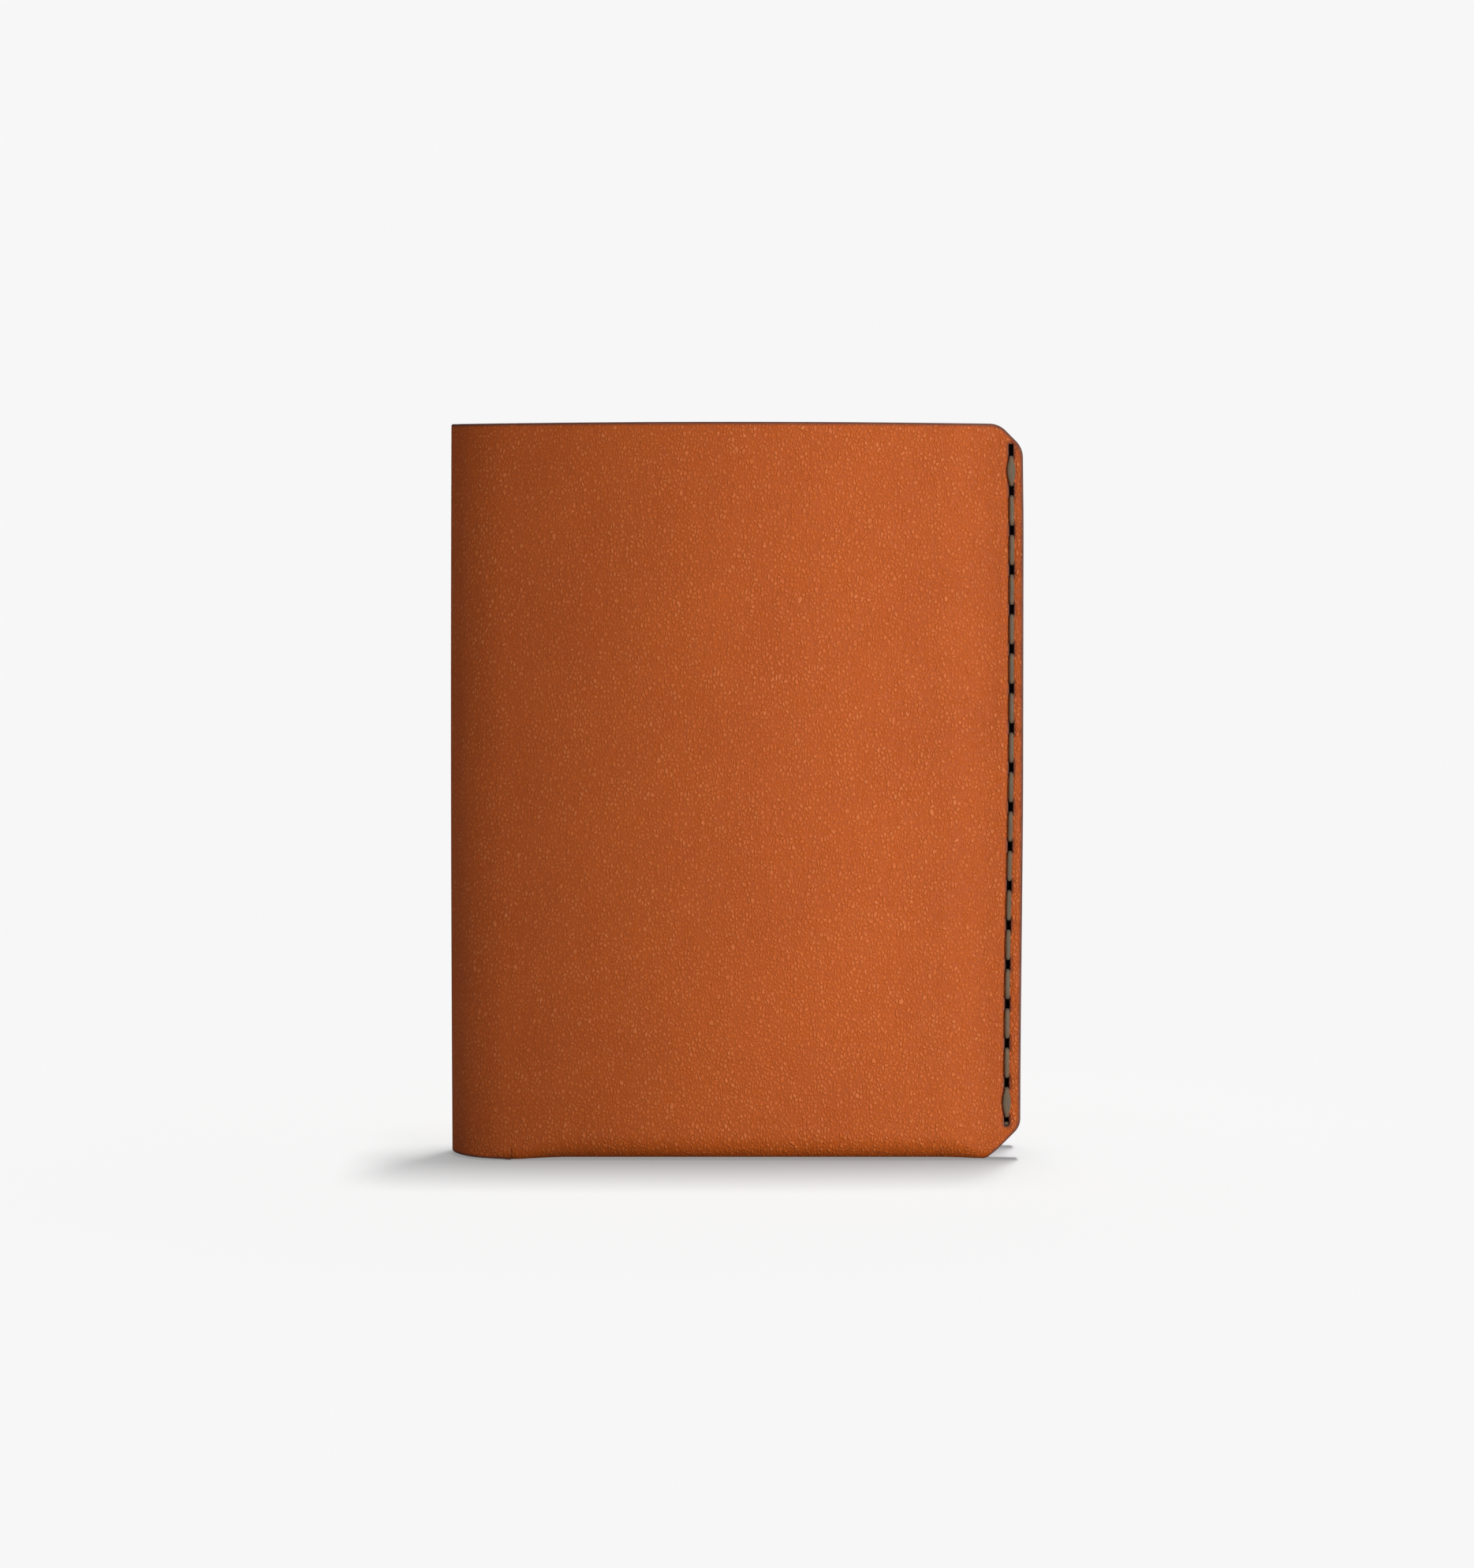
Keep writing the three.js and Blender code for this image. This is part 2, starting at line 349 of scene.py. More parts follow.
@dataclass(frozen=True)
class LeatherFold:
    """Lays the flat leather of the front half in its place.

    A flat point has u, its place across the holder, and v, its distance from the top edge down
    the cover, round the bottom fold and up the pocket wall.
    """

    sizes: HolderSizes
    soft: SoftShape
    tight_turn: float = 0.85 * MM
    loosening: float = 7.0 * MM
    table: int = 161

    @property
    def fold_line(self) -> float:
        """v where the cover starts to turn under."""
        return self.sizes.height - self.sizes.fold_height

    @property
    def mid_depth(self) -> float:
        """How far the middle of the leather drops below the fold line."""
        return self.sizes.fold_height - self.sizes.leather / 2

    @property
    def fold_length(self) -> float:
        """Length of leather in the fold."""
        return math.pi * self.mid_depth

    @property
    def wall_line(self) -> float:
        """v where the pocket wall starts."""
        return self.fold_line + self.fold_length

    @property
    def full_length(self) -> float:
        """v at the top edge of the pocket wall."""
        return self.wall_line + self.fold_line

    def drawn_in(self, u: np.ndarray) -> np.ndarray:
        """How far cover and wall have come together: 0 in the pocket, 1 on the seam."""
        s = self.sizes
        start = s.seam_x - s.seam_land - s.seam_ramp
        return (1 - np.cos(np.pi * np.clip((u - start) / s.seam_ramp, 0, 1))) / 2

    def cover_y(self, u: np.ndarray) -> np.ndarray:
        """The middle of the cover, seen from above."""
        return -self.sizes.turn_radius + self.sizes.set_in * self.drawn_in(u)

    def wall_y(self, u: np.ndarray) -> np.ndarray:
        """The middle of the pocket wall, seen from above."""
        s = self.sizes
        return -(s.wall_inside + s.leather / 2) - (s.pocket_gap - s.set_in) * self.drawn_in(u)

    def corner(self, u: np.ndarray, half_width: np.ndarray) -> np.ndarray:
        """Turning radius of the fold: tight at its free end, full further along.

        Args:
            u: Places across the holder.
            half_width: Half the distance between cover and wall there.

        Returns:
            The radius at each place.
        """
        full = np.minimum(half_width, self.mid_depth)
        loose = smoothstep((u - self.sizes.fold_start) / self.loosening)
        return np.minimum(full, self.tight_turn + (full - self.tight_turn) * loose)

    def fold_profile(self, u: np.ndarray, share: np.ndarray) -> tuple[np.ndarray, np.ndarray]:
        """Follows the fold from the cover, at share 0, to the wall, at share 1.

        Args:
            u: Places across the holder.
            share: How far along the fold's length each point is.

        Returns:
            y from the fold's own middle, and z.
        """
        half_width = (self.wall_y(u) - self.cover_y(u)) / 2
        radius = self.corner(u, half_width)
        side = self.mid_depth - radius
        arc = math.pi / 2 * radius
        flat = half_width - radius
        run = np.minimum(share, 1 - share) * 2 * (side + arc + flat)
        angle = np.clip((run - side) / radius, 0, math.pi / 2)
        along = np.clip(run - side - arc, 0, None)
        y = -half_width + radius * (1 - np.cos(angle)) + along
        z = self.sizes.fold_height - np.minimum(run, side) - radius * np.sin(angle)
        return np.where(share > 0.5, -y, y), z

    def middle(self, u: np.ndarray, v: np.ndarray) -> np.ndarray:
        """Points of the middle of the leather.

        Args:
            u: Places across the holder.
            v: Distances down the leather.

        Returns:
            Points, one to a row.
        """
        share = np.clip((v - self.fold_line) / self.fold_length, 0, 1)
        fold_y, fold_z = self.fold_profile(u, share)
        centre = (self.cover_y(u) + self.wall_y(u)) / 2
        z = np.where(v < self.fold_line, self.sizes.height - v, fold_z)
        z = np.where(v > self.wall_line, self.sizes.fold_height + v - self.wall_line, z)
        y = centre + fold_y - np.where(v < self.fold_line, self.soft.swell(u, z), 0)
        return np.stack([u + self.soft.lean(u, z), y, z + self.soft.raised(u, z)], axis=-1)

    def normal(self, u: np.ndarray, v: np.ndarray) -> np.ndarray:
        """Directions out of the grain side, one to a row.

        Args:
            u: Places across the holder.
            v: Distances down the leather.

        Returns:
            Unit directions.
        """
        step = 0.02 * MM
        across = self.middle(u + step, v) - self.middle(u - step, v)
        down = self.middle(u, v + step) - self.middle(u, v - step)
        out = np.cross(down, across)
        return out / np.linalg.norm(out, axis=-1, keepdims=True)

    def flat_v(self, u: np.ndarray, z: np.ndarray) -> np.ndarray:
        """Distance down the leather to a height of its outer face, on the cover's side.

        Args:
            u: Places across the holder.
            z: Heights there.

        Returns:
            v for each of them.
        """
        shares = np.linspace(0, 0.5, self.table)
        found = []
        for place, height in zip(u, z):
            v = self.fold_line + shares * self.fold_length
            at = np.full_like(v, place)
            outer = self.middle(at, v) + self.normal(at, v) * self.sizes.leather / 2
            if height >= self.sizes.fold_height:
                found.append(self.sizes.height - height)
            else:
                found.append(float(np.interp(-height, -outer[:, 2], v)))
        return np.array(found)


# ------------------------------------------------------------------ mesh drafts


class MeshDraft:
    """Points, faces and finishes of a mesh in the making."""

    def __init__(self) -> None:
        """Starts with nothing."""
        self.points: list[np.ndarray] = []
        self.places: list[np.ndarray] = []
        self.rims: list[np.ndarray] = []
        self.faces: list[tuple[int, ...]] = []
        self.finishes: list[int] = []
        self.count = 0

    def add(self, points: np.ndarray, places: np.ndarray, rim: np.ndarray | float) -> np.ndarray:
        """Adds points.

        Args:
            points: Where they are, one to a row.
            places: Where they are in the flat leather or thread, one to a row.
            rim: Their distance from a cut edge.

        Returns:
            Their numbers in the mesh.
        """
        total = len(points)
        self.points.append(np.asarray(points, float))
        self.places.append(np.asarray(places, float))
        self.rims.append(np.broadcast_to(np.asarray(rim, float), (total,)))
        numbers = np.arange(self.count, self.count + total)
        self.count += total
        return numbers

    def strip(self, first: np.ndarray, second: np.ndarray, finish: int, closed: bool = False) -> None:
        """Joins two rows of points with four-sided faces.

        Args:
            first: Numbers of the points of one row.
            second: Numbers of the points of the next row.
            finish: Material slot of the faces.
            closed: Whether each row runs back to its own start.
        """
        total = len(first)
        for i in range(total if closed else total - 1):
            j = (i + 1) % total
            self.faces.append((int(first[i]), int(first[j]), int(second[j]), int(second[i])))
            self.finishes.append(finish)

    def face(self, corners: tuple[int, ...], finish: int) -> None:
        """Adds one face."""
        self.faces.append(tuple(int(corner) for corner in corners))
        self.finishes.append(finish)

    def cap(self, ring: np.ndarray, finish: int, forward: bool) -> None:
        """Closes a ring with a flat face of its own points, so that its sides stay smooth.

        Args:
            ring: Numbers of the ring's points.
            finish: Material slot of the face.
            forward: Whether the face takes the points in the ring's own order.
        """
        points, places = np.concatenate(self.points), np.concatenate(self.places)
        added = self.add(points[ring], places[ring], 0.0)
        self.face(tuple(added if forward else added[::-1]), finish)

    def build(self, name: str, materials: list[bpy.types.Material], flip: bool) -> bpy.types.Object:
        """Makes the object.

        Args:
            name: The object's name.
            materials: Its material slots, in order.
            flip: Whether it is the mirror image, across the holder's middle plane.

        Returns:
            The object, in the scene.
        """
        points = np.concatenate(self.points)
        places = np.concatenate(self.places)
        faces = self.faces
        if flip:
            points = points * np.array([1, -1, 1])
            places = places * np.array([-1, 1, 1])
            faces = [tuple(reversed(corners)) for corners in faces]
        mesh = bpy.data.meshes.new(name)
        mesh.from_pydata(points.tolist(), [], faces)
        mesh.polygons.foreach_set("material_index", self.finishes)
        mesh.shade_smooth()
        flat = mesh.attributes.new(PLACE, "FLOAT_VECTOR", "POINT")
        flat.data.foreach_set("vector", (places / MM).astype(np.float32).ravel())
        rim = mesh.attributes.new(RIM, "FLOAT", "POINT")
        rim.data.foreach_set("value", (np.concatenate(self.rims) / MM).astype(np.float32))
        for material in materials:
            mesh.materials.append(material)
        mesh.validate()
        made = bpy.data.objects.new(name, mesh)
        bpy.context.scene.collection.objects.link(made)
        log.info("%s: %d points, %d faces", name, len(mesh.vertices), len(mesh.polygons))
        return made


def rounded_corners(corners: list[tuple[float, float, float]], segments: int) -> np.ndarray:
    """Rounds the corners of an open outline.

    Args:
        corners: x, z and fillet radius of each corner. The first and last are plain ends.
        segments: Straight pieces in each round.

    Returns:
        The outline's points, one to a row.
    """
    points = [np.array(corners[0][:2])]
    for before, here, after in zip(corners, corners[1:], corners[2:]):
        corner = np.array(here[:2])
        inward = np.array(before[:2]) - corner
        outward = np.array(after[:2]) - corner
        inward /= np.linalg.norm(inward)
        outward /= np.linalg.norm(outward)
        half = math.acos(float(inward @ outward)) / 2
        reach = here[2] / math.tan(half)
        bisector = (inward + outward) / np.linalg.norm(inward + outward)
        centre = corner + bisector * here[2] / math.sin(half)
        first = corner + inward * reach - centre
        last = corner + outward * reach - centre
        for share in np.linspace(0, 1, segments + 1):
            arm = first * (1 - share) + last * share
            points.append(centre + arm / np.linalg.norm(arm) * here[2])
    points.append(np.array(corners[-1][:2]))
    return np.array(points)


def evenly_cut(points: np.ndarray, step: float) -> np.ndarray:
    """Divides the long stretches of a line into pieces no longer than step.

    Args:
        points: The line's points, one to a row.
        step: The longest piece.

    Returns:
        The divided line's points.
    """
    line = [points[0]]
    for a, b in zip(points, points[1:]):
        pieces = max(1, math.ceil(np.linalg.norm(b - a) / step))
        line.extend(a + (b - a) * i / pieces for i in range(1, pieces + 1))
    return np.array(line)


def left_of(line: np.ndarray, closed: bool) -> np.ndarray:
    """Unit directions to the left of a line at each of its points.

    Args:
        line: The line's points, one to a row.
        closed: Whether the line is a loop.

    Returns:
        The directions, one to a row.
    """
    if closed:
        ahead = np.roll(line, -1, axis=0) - np.roll(line, 1, axis=0)
    else:
        ahead = np.gradient(line, axis=0)
    ahead = ahead / np.linalg.norm(ahead, axis=1, keepdims=True)
    return np.stack([-ahead[:, 1], ahead[:, 0]], axis=1)


# ------------------------------------------------------------------ leather halves


@dataclass
class CoverLeather:
    """One half's leather: cover, bottom fold and pocket wall, cut, folded and punched."""

    sizes: HolderSizes
    fold: LeatherFold
    side: Side
    materials: list[bpy.types.Material]
    top_chamfer: float = 3.0 * MM
    top_fillet: float = 2.9 * MM
    bottom_chamfer: float = 4.2 * MM
    bottom_fillet: float = 1.0 * MM
    bottom_side_fillet: float = 2.5 * MM
    edge_round: float = 0.24 * MM
    last_slot_cut: float = 0.42 * MM
    slot_width: float = 0.60 * MM
    slot_corner: float = 0.22 * MM
    slot_round: float = 0.09 * MM
    corner_steps: int = 10
    slot_corner_steps: int = 4
    groove: float = 0.10 * MM
    groove_reach: float = 0.55
    groove_fade: float = 0.8 * MM
    pucker: float = 0.11 * MM
    pucker_reach: tuple[float, float] = (0.75, 1.0)
    far_from_rim: float = 5 * MM
    outline_step: float = 0.5 * MM
    coarse: float = 1.3 * MM
    fine: float = 0.42 * MM
    round_steps: int = 4

    def silhouette(self) -> np.ndarray:
        """The folded half's outline from the top edge at the spine round to the bottom fold.

        Returns:
            Points as (x, z), one to a row.
        """
        s = self.sizes
        corners = [
            (s.fold_start, s.height, 0.0),
            (s.seam_x - self.top_chamfer, s.height, self.top_fillet),
            (s.seam_x, s.height - self.top_chamfer, self.top_fillet),
            (s.seam_x, self.bottom_chamfer, self.bottom_side_fillet),
            (s.seam_x - self.bottom_chamfer, 0.0, self.bottom_fillet),
            (s.seam_x - self.bottom_chamfer - 2 * self.bottom_fillet, 0.0, 0.0),
        ]
        return rounded_corners(corners, self.corner_steps)[:-1]

    def outline(self) -> np.ndarray:
        """The flat leather's cut edge, from the cover's top at the spine to the fold's free end.

        Returns:
            Points as (u, v), one to a row.
        """
        shape = evenly_cut(self.silhouette(), self.outline_step)
        u = shape[:, 0]
        v = self.fold.flat_v(u, shape[:, 1])
        cover = np.stack([u, v], axis=1)
        wall = np.stack([u, self.fold.wall_line + self.fold.fold_line - v], axis=1)[::-1]
        end = np.array([[self.sizes.fold_start, self.slit_v()]])
        free_edge = evenly_cut(np.concatenate([wall[-1:], end]), self.outline_step)
        return np.concatenate([cover, wall[1:], free_edge[1:]])

    def slit_v(self) -> float:
        """v down to which the fold's free end is still joined to the spine's leather.

        Returns:
            That v.
        """
        straight = self.fold.mid_depth - self.fold.tight_turn
        start = np.array([self.sizes.fold_start])
        return float(self.fold.flat_v(start, np.array([self.sizes.fold_height - straight]))[0])

    def slot_line(self, middle_u: float, middle_v: float, half_length: float) -> np.ndarray:
        """A stitch hole's outline in the flat leather, run round with the leather on its left.

        Args:
            middle_u: The hole's place across the holder.
            middle_v: Its place down the leather.
            half_length: Half its length.

        Returns:
            Its points in the flat leather, one to a row.
        """
        reach = np.array([self.slot_width / 2, half_length]) - self.slot_corner
        points = []
        for quarter, corner in enumerate([(1, -1), (1, 1), (-1, 1), (-1, -1)]):
            middle = np.array([middle_u, middle_v]) + np.array(corner) * reach
            for share in np.linspace(0, 1, self.slot_corner_steps):
                angle = (quarter - 1 + share) * math.pi / 2
                points.append(middle + self.slot_corner * np.array([math.cos(angle), math.sin(angle)]))
        ring = np.array(points)
        return evenly_cut(np.concatenate([ring, ring[:1]]), self.fine)[:0:-1]

    def pressed(self, uv: np.ndarray) -> np.ndarray:
        """How deep the grain side is pressed in: a groove under the thread, a dip at each hole.

        Args:
            uv: Flat points, one to a row.

        Returns:
            Depths below the smooth grain side.
        """
        s = self.sizes
        v = np.where(uv[:, 1] > self.fold.wall_line, self.fold.full_length - uv[:, 1], uv[:, 1])
        z = s.height - v
        across = (uv[:, 0] - self.fold.soft.stitch_line(z)) / MM
        fade = self.groove_fade
        sewn = smoothstep((s.top_hole + fade - z) / fade)
        sewn = sewn * smoothstep((z - s.bottom_hole + fade) / fade)
        depth = self.groove * np.exp(-((across / self.groove_reach) ** 2)) * sewn
        wide, tall = self.pucker_reach
        for height in s.hole_heights:
            along = (z - height) / MM
            depth = depth + self.pucker * np.exp(-((across / wide) ** 2) - (along / tall) ** 2)
        return depth

    def lay(self, uv: np.ndarray, offset: np.ndarray | float) -> np.ndarray:
        """Places points of the flat leather.

        Args:
            uv: Flat points, one to a row.
            offset: Distance from the middle of the leather, towards the grain side.

        Returns:
            Points in the holder's frame.
        """
        offset = np.broadcast_to(np.asarray(offset, float), (len(uv),))
        share = smoothstep(offset / (self.sizes.leather / 2))
        pressed = offset - self.pressed(uv) * share
        normal = self.fold.normal(uv[:, 0], uv[:, 1])
        return self.fold.middle(uv[:, 0], uv[:, 1]) + normal * pressed[:, None]

    def places(self, uv: np.ndarray, offset: np.ndarray | float) -> np.ndarray:
        """Places of flat points in the whole blank, counted from the middle of the spine.

        Args:
            uv: Flat points, one to a row.
            offset: Distance from the middle of the leather.

        Returns:
            Places as (along, down, offset), one to a row.
        """
        s = self.sizes
        along = uv[:, 0] - s.turn_x + math.pi / 2 * s.turn_radius
        return np.stack([along, uv[:, 1], np.broadcast_to(offset, (len(uv),))], axis=1)

    def edge_profile(self, radius: float) -> list[tuple[float, float]]:
        """How a cut edge is rounded: (inset, offset) from the grain side to the flesh side.

        Args:
            radius: The rounding's radius.

        Returns:
            The profile's points.
        """
        half = self.sizes.leather / 2
        turn = np.linspace(math.pi / 2, 0, self.round_steps + 1)
        grain = [(radius * (1 - math.cos(a)), half - radius * (1 - math.sin(a))) for a in turn]
        return grain + [(inset, -offset) for inset, offset in reversed(grain)]

    def edge(
        self, draft: MeshDraft, line: np.ndarray, inward: np.ndarray, radius: np.ndarray, closed: bool
    ) -> tuple[np.ndarray, np.ndarray, np.ndarray]:
        """Makes the rounded wall along a cut line.

        Args:
            draft: The mesh to add to.
            line: The cut line in the flat leather.
            inward: Directions into the leather, at each point of it.
            radius: The edge's rounding at each point.
            closed: Whether the line is a loop.

        Returns:
            The innermost line in the flat, and its points' numbers on the grain and flesh sides.
        """
        rows = []
        unit = float(radius.max())
        for inset, offset in self.edge_profile(unit):
            uv = line + inward * (inset * radius / unit)[:, None]
            drop = (self.sizes.leather / 2 - abs(offset)) * radius / unit
            level = np.sign(offset) * (self.sizes.leather / 2 - drop)
            rows.append(draft.add(self.lay(uv, level), self.places(uv, level), inset))
        for first, second in zip(rows, rows[1:]):
            draft.strip(first, second, Finish.EDGE, closed)
        return line + inward * radius[:, None], rows[0], rows[-1]

    def inside_points(self, walls: np.ndarray) -> np.ndarray:
        """Fills the flat leather with points, closer together where it bends and is stitched.

        Args:
            walls: Points of all the lines that bound the leather.

        Returns:
            Flat points clear of those lines.
        """
        s = self.sizes
        ramp = s.seam_x - s.seam_land - s.seam_ramp
        u_wide = np.arange(s.fold_start + self.coarse, ramp, self.coarse)
        u_ramp = np.arange(ramp, s.seam_x - s.seam_land, 0.6 * self.coarse)
        u_seam = np.arange(s.seam_x - s.seam_land, s.seam_x, self.fine)
        v_cover = np.arange(0, self.fold.fold_line - 2 * MM, self.coarse)
        v_fold = np.arange(v_cover[-1] + self.coarse, self.fold.wall_line + 1 * MM, 0.36 * MM)
        v_wall = np.arange(v_fold[-1] + self.coarse, self.fold.full_length, self.coarse)
        v_fine = np.arange(0, self.fold.full_length, self.fine)
        broad = np.meshgrid(np.concatenate([u_wide, u_ramp]), np.concatenate([v_cover, v_fold, v_wall]))
        close = np.meshgrid(u_seam, v_fine)
        points = np.concatenate([np.stack([a.ravel(), b.ravel()], axis=1) for a, b in (broad, close)])
        nearest = np.full(len(points), 1.0)
        for start in range(0, len(walls), 256):
            apart = points[:, None, :] - walls[None, start:start + 256, :]
            nearest = np.minimum(nearest, np.sqrt((apart**2).sum(axis=2)).min(axis=1))
        return points[(nearest > 0.5 * self.fine) & self.within(points)]

    def within(self, points: np.ndarray) -> np.ndarray:
        """Which flat points lie on the leather, between its cut edge and the spine.

        Args:
            points: Flat points, one to a row.

        Returns:
            Whether each one does.
        """
        line = self.outline()
        start = np.roll(line, 1, axis=0)
        inside = np.zeros(len(points), bool)
        for (u0, v0), (u1, v1) in zip(start, line):
            crosses = (v0 > points[:, 1]) != (v1 > points[:, 1])
            rise = v1 - v0 if v1 != v0 else 1.0
            reach = u0 + (u1 - u0) * (points[:, 1] - v0) / rise
            inside ^= crosses & (points[:, 0] < reach)
        for u, v, half_length in self.slots():
            apart = np.abs(points - (u, v))
            inside &= (apart[:, 0] > self.slot_width / 2) | (apart[:, 1] > half_length)
        return inside

    def slots(self) -> list[tuple[float, float, float]]:
        """All the stitch holes: u, v and half length, on the cover and then on the wall.

        Returns:
            The holes, from the top down on each.
        """
        s = self.sizes
        cover = []
        for z in s.hole_heights:
            cut = self.last_slot_cut if z == s.hole_heights[-1] else 0.0
            middle_u = float(self.fold.soft.stitch_line(z))
            cover.append((middle_u, float(s.height - z - cut / 2), (s.slot_length - cut) / 2))
        return cover + [(u, self.fold.full_length - v, half) for u, v, half in cover]

    def joint_rows(self, rows: np.ndarray) -> np.ndarray:
        """Flat points down the line where this leather joins the spine's, at its rows' heights.

        Args:
            rows: Heights of the spine's rows of points.

        Returns:
            The points, one to a row.
        """
        low = self.sizes.height - self.slit_v()
        kept = rows[(rows < self.sizes.height - self.edge_round - 0.1 * MM) & (rows > low + 0.3 * MM)]
        start = np.full(len(kept), self.sizes.fold_start)
        return np.stack([start, self.fold.flat_v(start, kept)], axis=1)

    def build(self, rows: np.ndarray) -> bpy.types.Object:
        """Makes the half.

        Args:
            rows: Heights of the spine's rows of points, from the top down.

        Returns:
            The leather, dressed and riding on its half.
        """
        draft = MeshDraft()
        outline = self.outline()
        inward = left_of(outline, closed=False)
        inward[0] = (0.0, 1.0)
        taper = np.ones(len(outline))
        reach = np.linalg.norm(outline - outline[-1], axis=1)
        taper[-12:] = smoothstep(reach[-12:] / (2 * MM))
        ring, grain, flesh = self.edge(draft, outline, inward, self.edge_round * taper, closed=False)
        joint = self.joint_rows(rows)[::-1]
        half = self.sizes.leather / 2
        lines = [np.concatenate([ring, joint])]
        numbers = {}
        for finish, level, edge_row in ((Finish.GRAIN, half, grain), (Finish.FLESH, -half, flesh)):
            added = draft.add(self.lay(joint, level), self.places(joint, level), self.far_from_rim)
            numbers[finish] = [np.concatenate([edge_row, added])]
        for loop in (self.slot_line(*slot) for slot in self.slots()):
            out = left_of(loop, closed=True)
            radius = np.full(len(loop), self.slot_round)
            inner, grain, flesh = self.edge(draft, loop, out, radius, closed=True)
            lines.append(inner)
            numbers[Finish.GRAIN].append(grain)
            numbers[Finish.FLESH].append(flesh)
        self.fill(draft, lines, numbers)
        name = f"{self.side.value}_cover_leather"
        made = draft.build(name, self.materials, flip=self.side is Side.BACK)
        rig.replaces(made, *(f"{self.side.value}_{part}" for part in ("panel", "bottom_fold", "pocket")))
        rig.slot(made, "leather")
        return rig.ride(made, f"{self.side.value}_half")

    def fill(
        self, draft: MeshDraft, lines: list[np.ndarray], numbers: dict[Finish, list[np.ndarray]]
    ) -> None:
        """Covers the leather between its cut lines, on both sides.

        Args:
            draft: The mesh to add to.
            lines: The innermost flat lines: the outline first, then each hole.
            numbers: For each side, the numbers of those lines' points in the mesh.
        """
        walls = np.concatenate(lines)
        inside = self.inside_points(walls)
        flat = np.concatenate([walls, inside])
        ends = np.cumsum([len(line) for line in lines])
        loops = [list(range(end - len(line), end)) for line, end in zip(lines, ends)]
        edges = [(a, b) for loop in loops[1:] for a, b in zip(loop, loop[1:] + loop[:1])]
        scaled = [Vector(point) for point in (flat / MM).tolist()]
        made = delaunay_2d_cdt(scaled, edges, [loops[0]], 1, 1e-6)
        triangles, sources = made[2], made[3]
        source = np.array([origin[0] if origin else -1 for origin in sources])
        depth = self.rim_distance(inside, walls)
        half = self.sizes.leather / 2
        corners = source[np.array(triangles)]
        corners = corners[(corners >= 0).all(axis=1)]
        middles = flat[corners].mean(axis=1)
        in_hole = np.zeros(len(corners), bool)
        for u, v, half_length in self.slots():
            grown = np.array([self.slot_width / 2, half_length]) + 0.5 * self.slot_round
            in_hole |= (np.abs(middles - (u, v)) < grown).all(axis=1)
        corners = corners[~in_hole]
        a, b, c = (flat[corners[:, i]] for i in range(3))
        turn = (b - a)[:, 0] * (c - a)[:, 1] - (b - a)[:, 1] * (c - a)[:, 0]
        corners[turn > 0] = corners[turn > 0][:, ::-1]
        for finish, level in ((Finish.GRAIN, half), (Finish.FLESH, -half)):
            added = draft.add(self.lay(inside, level), self.places(inside, level), depth)
            number = np.concatenate([*numbers[finish], added])
            for corner in number[corners]:
                draft.face(tuple(corner) if finish is Finish.GRAIN else tuple(corner[::-1]), finish)

    def rim_distance(self, points: np.ndarray, walls: np.ndarray) -> np.ndarray:
        """Distance of each flat point from the nearest cut line.

        Args:
            points: Flat points, one to a row.
            walls: Points of the lines, the spine's joint included.

        Returns:
            Distances, counted from the rounded edge's outside.
        """
        nearest = np.full(len(points), self.far_from_rim)
        on_joint = walls[:, 0] <= self.sizes.fold_start + 1e-9
        cut = walls[~on_joint]
        for start in range(0, len(cut), 256):
            apart = points[:, None, :] - cut[None, start:start + 256, :]
            nearest = np.minimum(nearest, np.sqrt((apart**2).sum(axis=2)).min(axis=1))
        return nearest + self.edge_round


# ------------------------------------------------------------------ spine


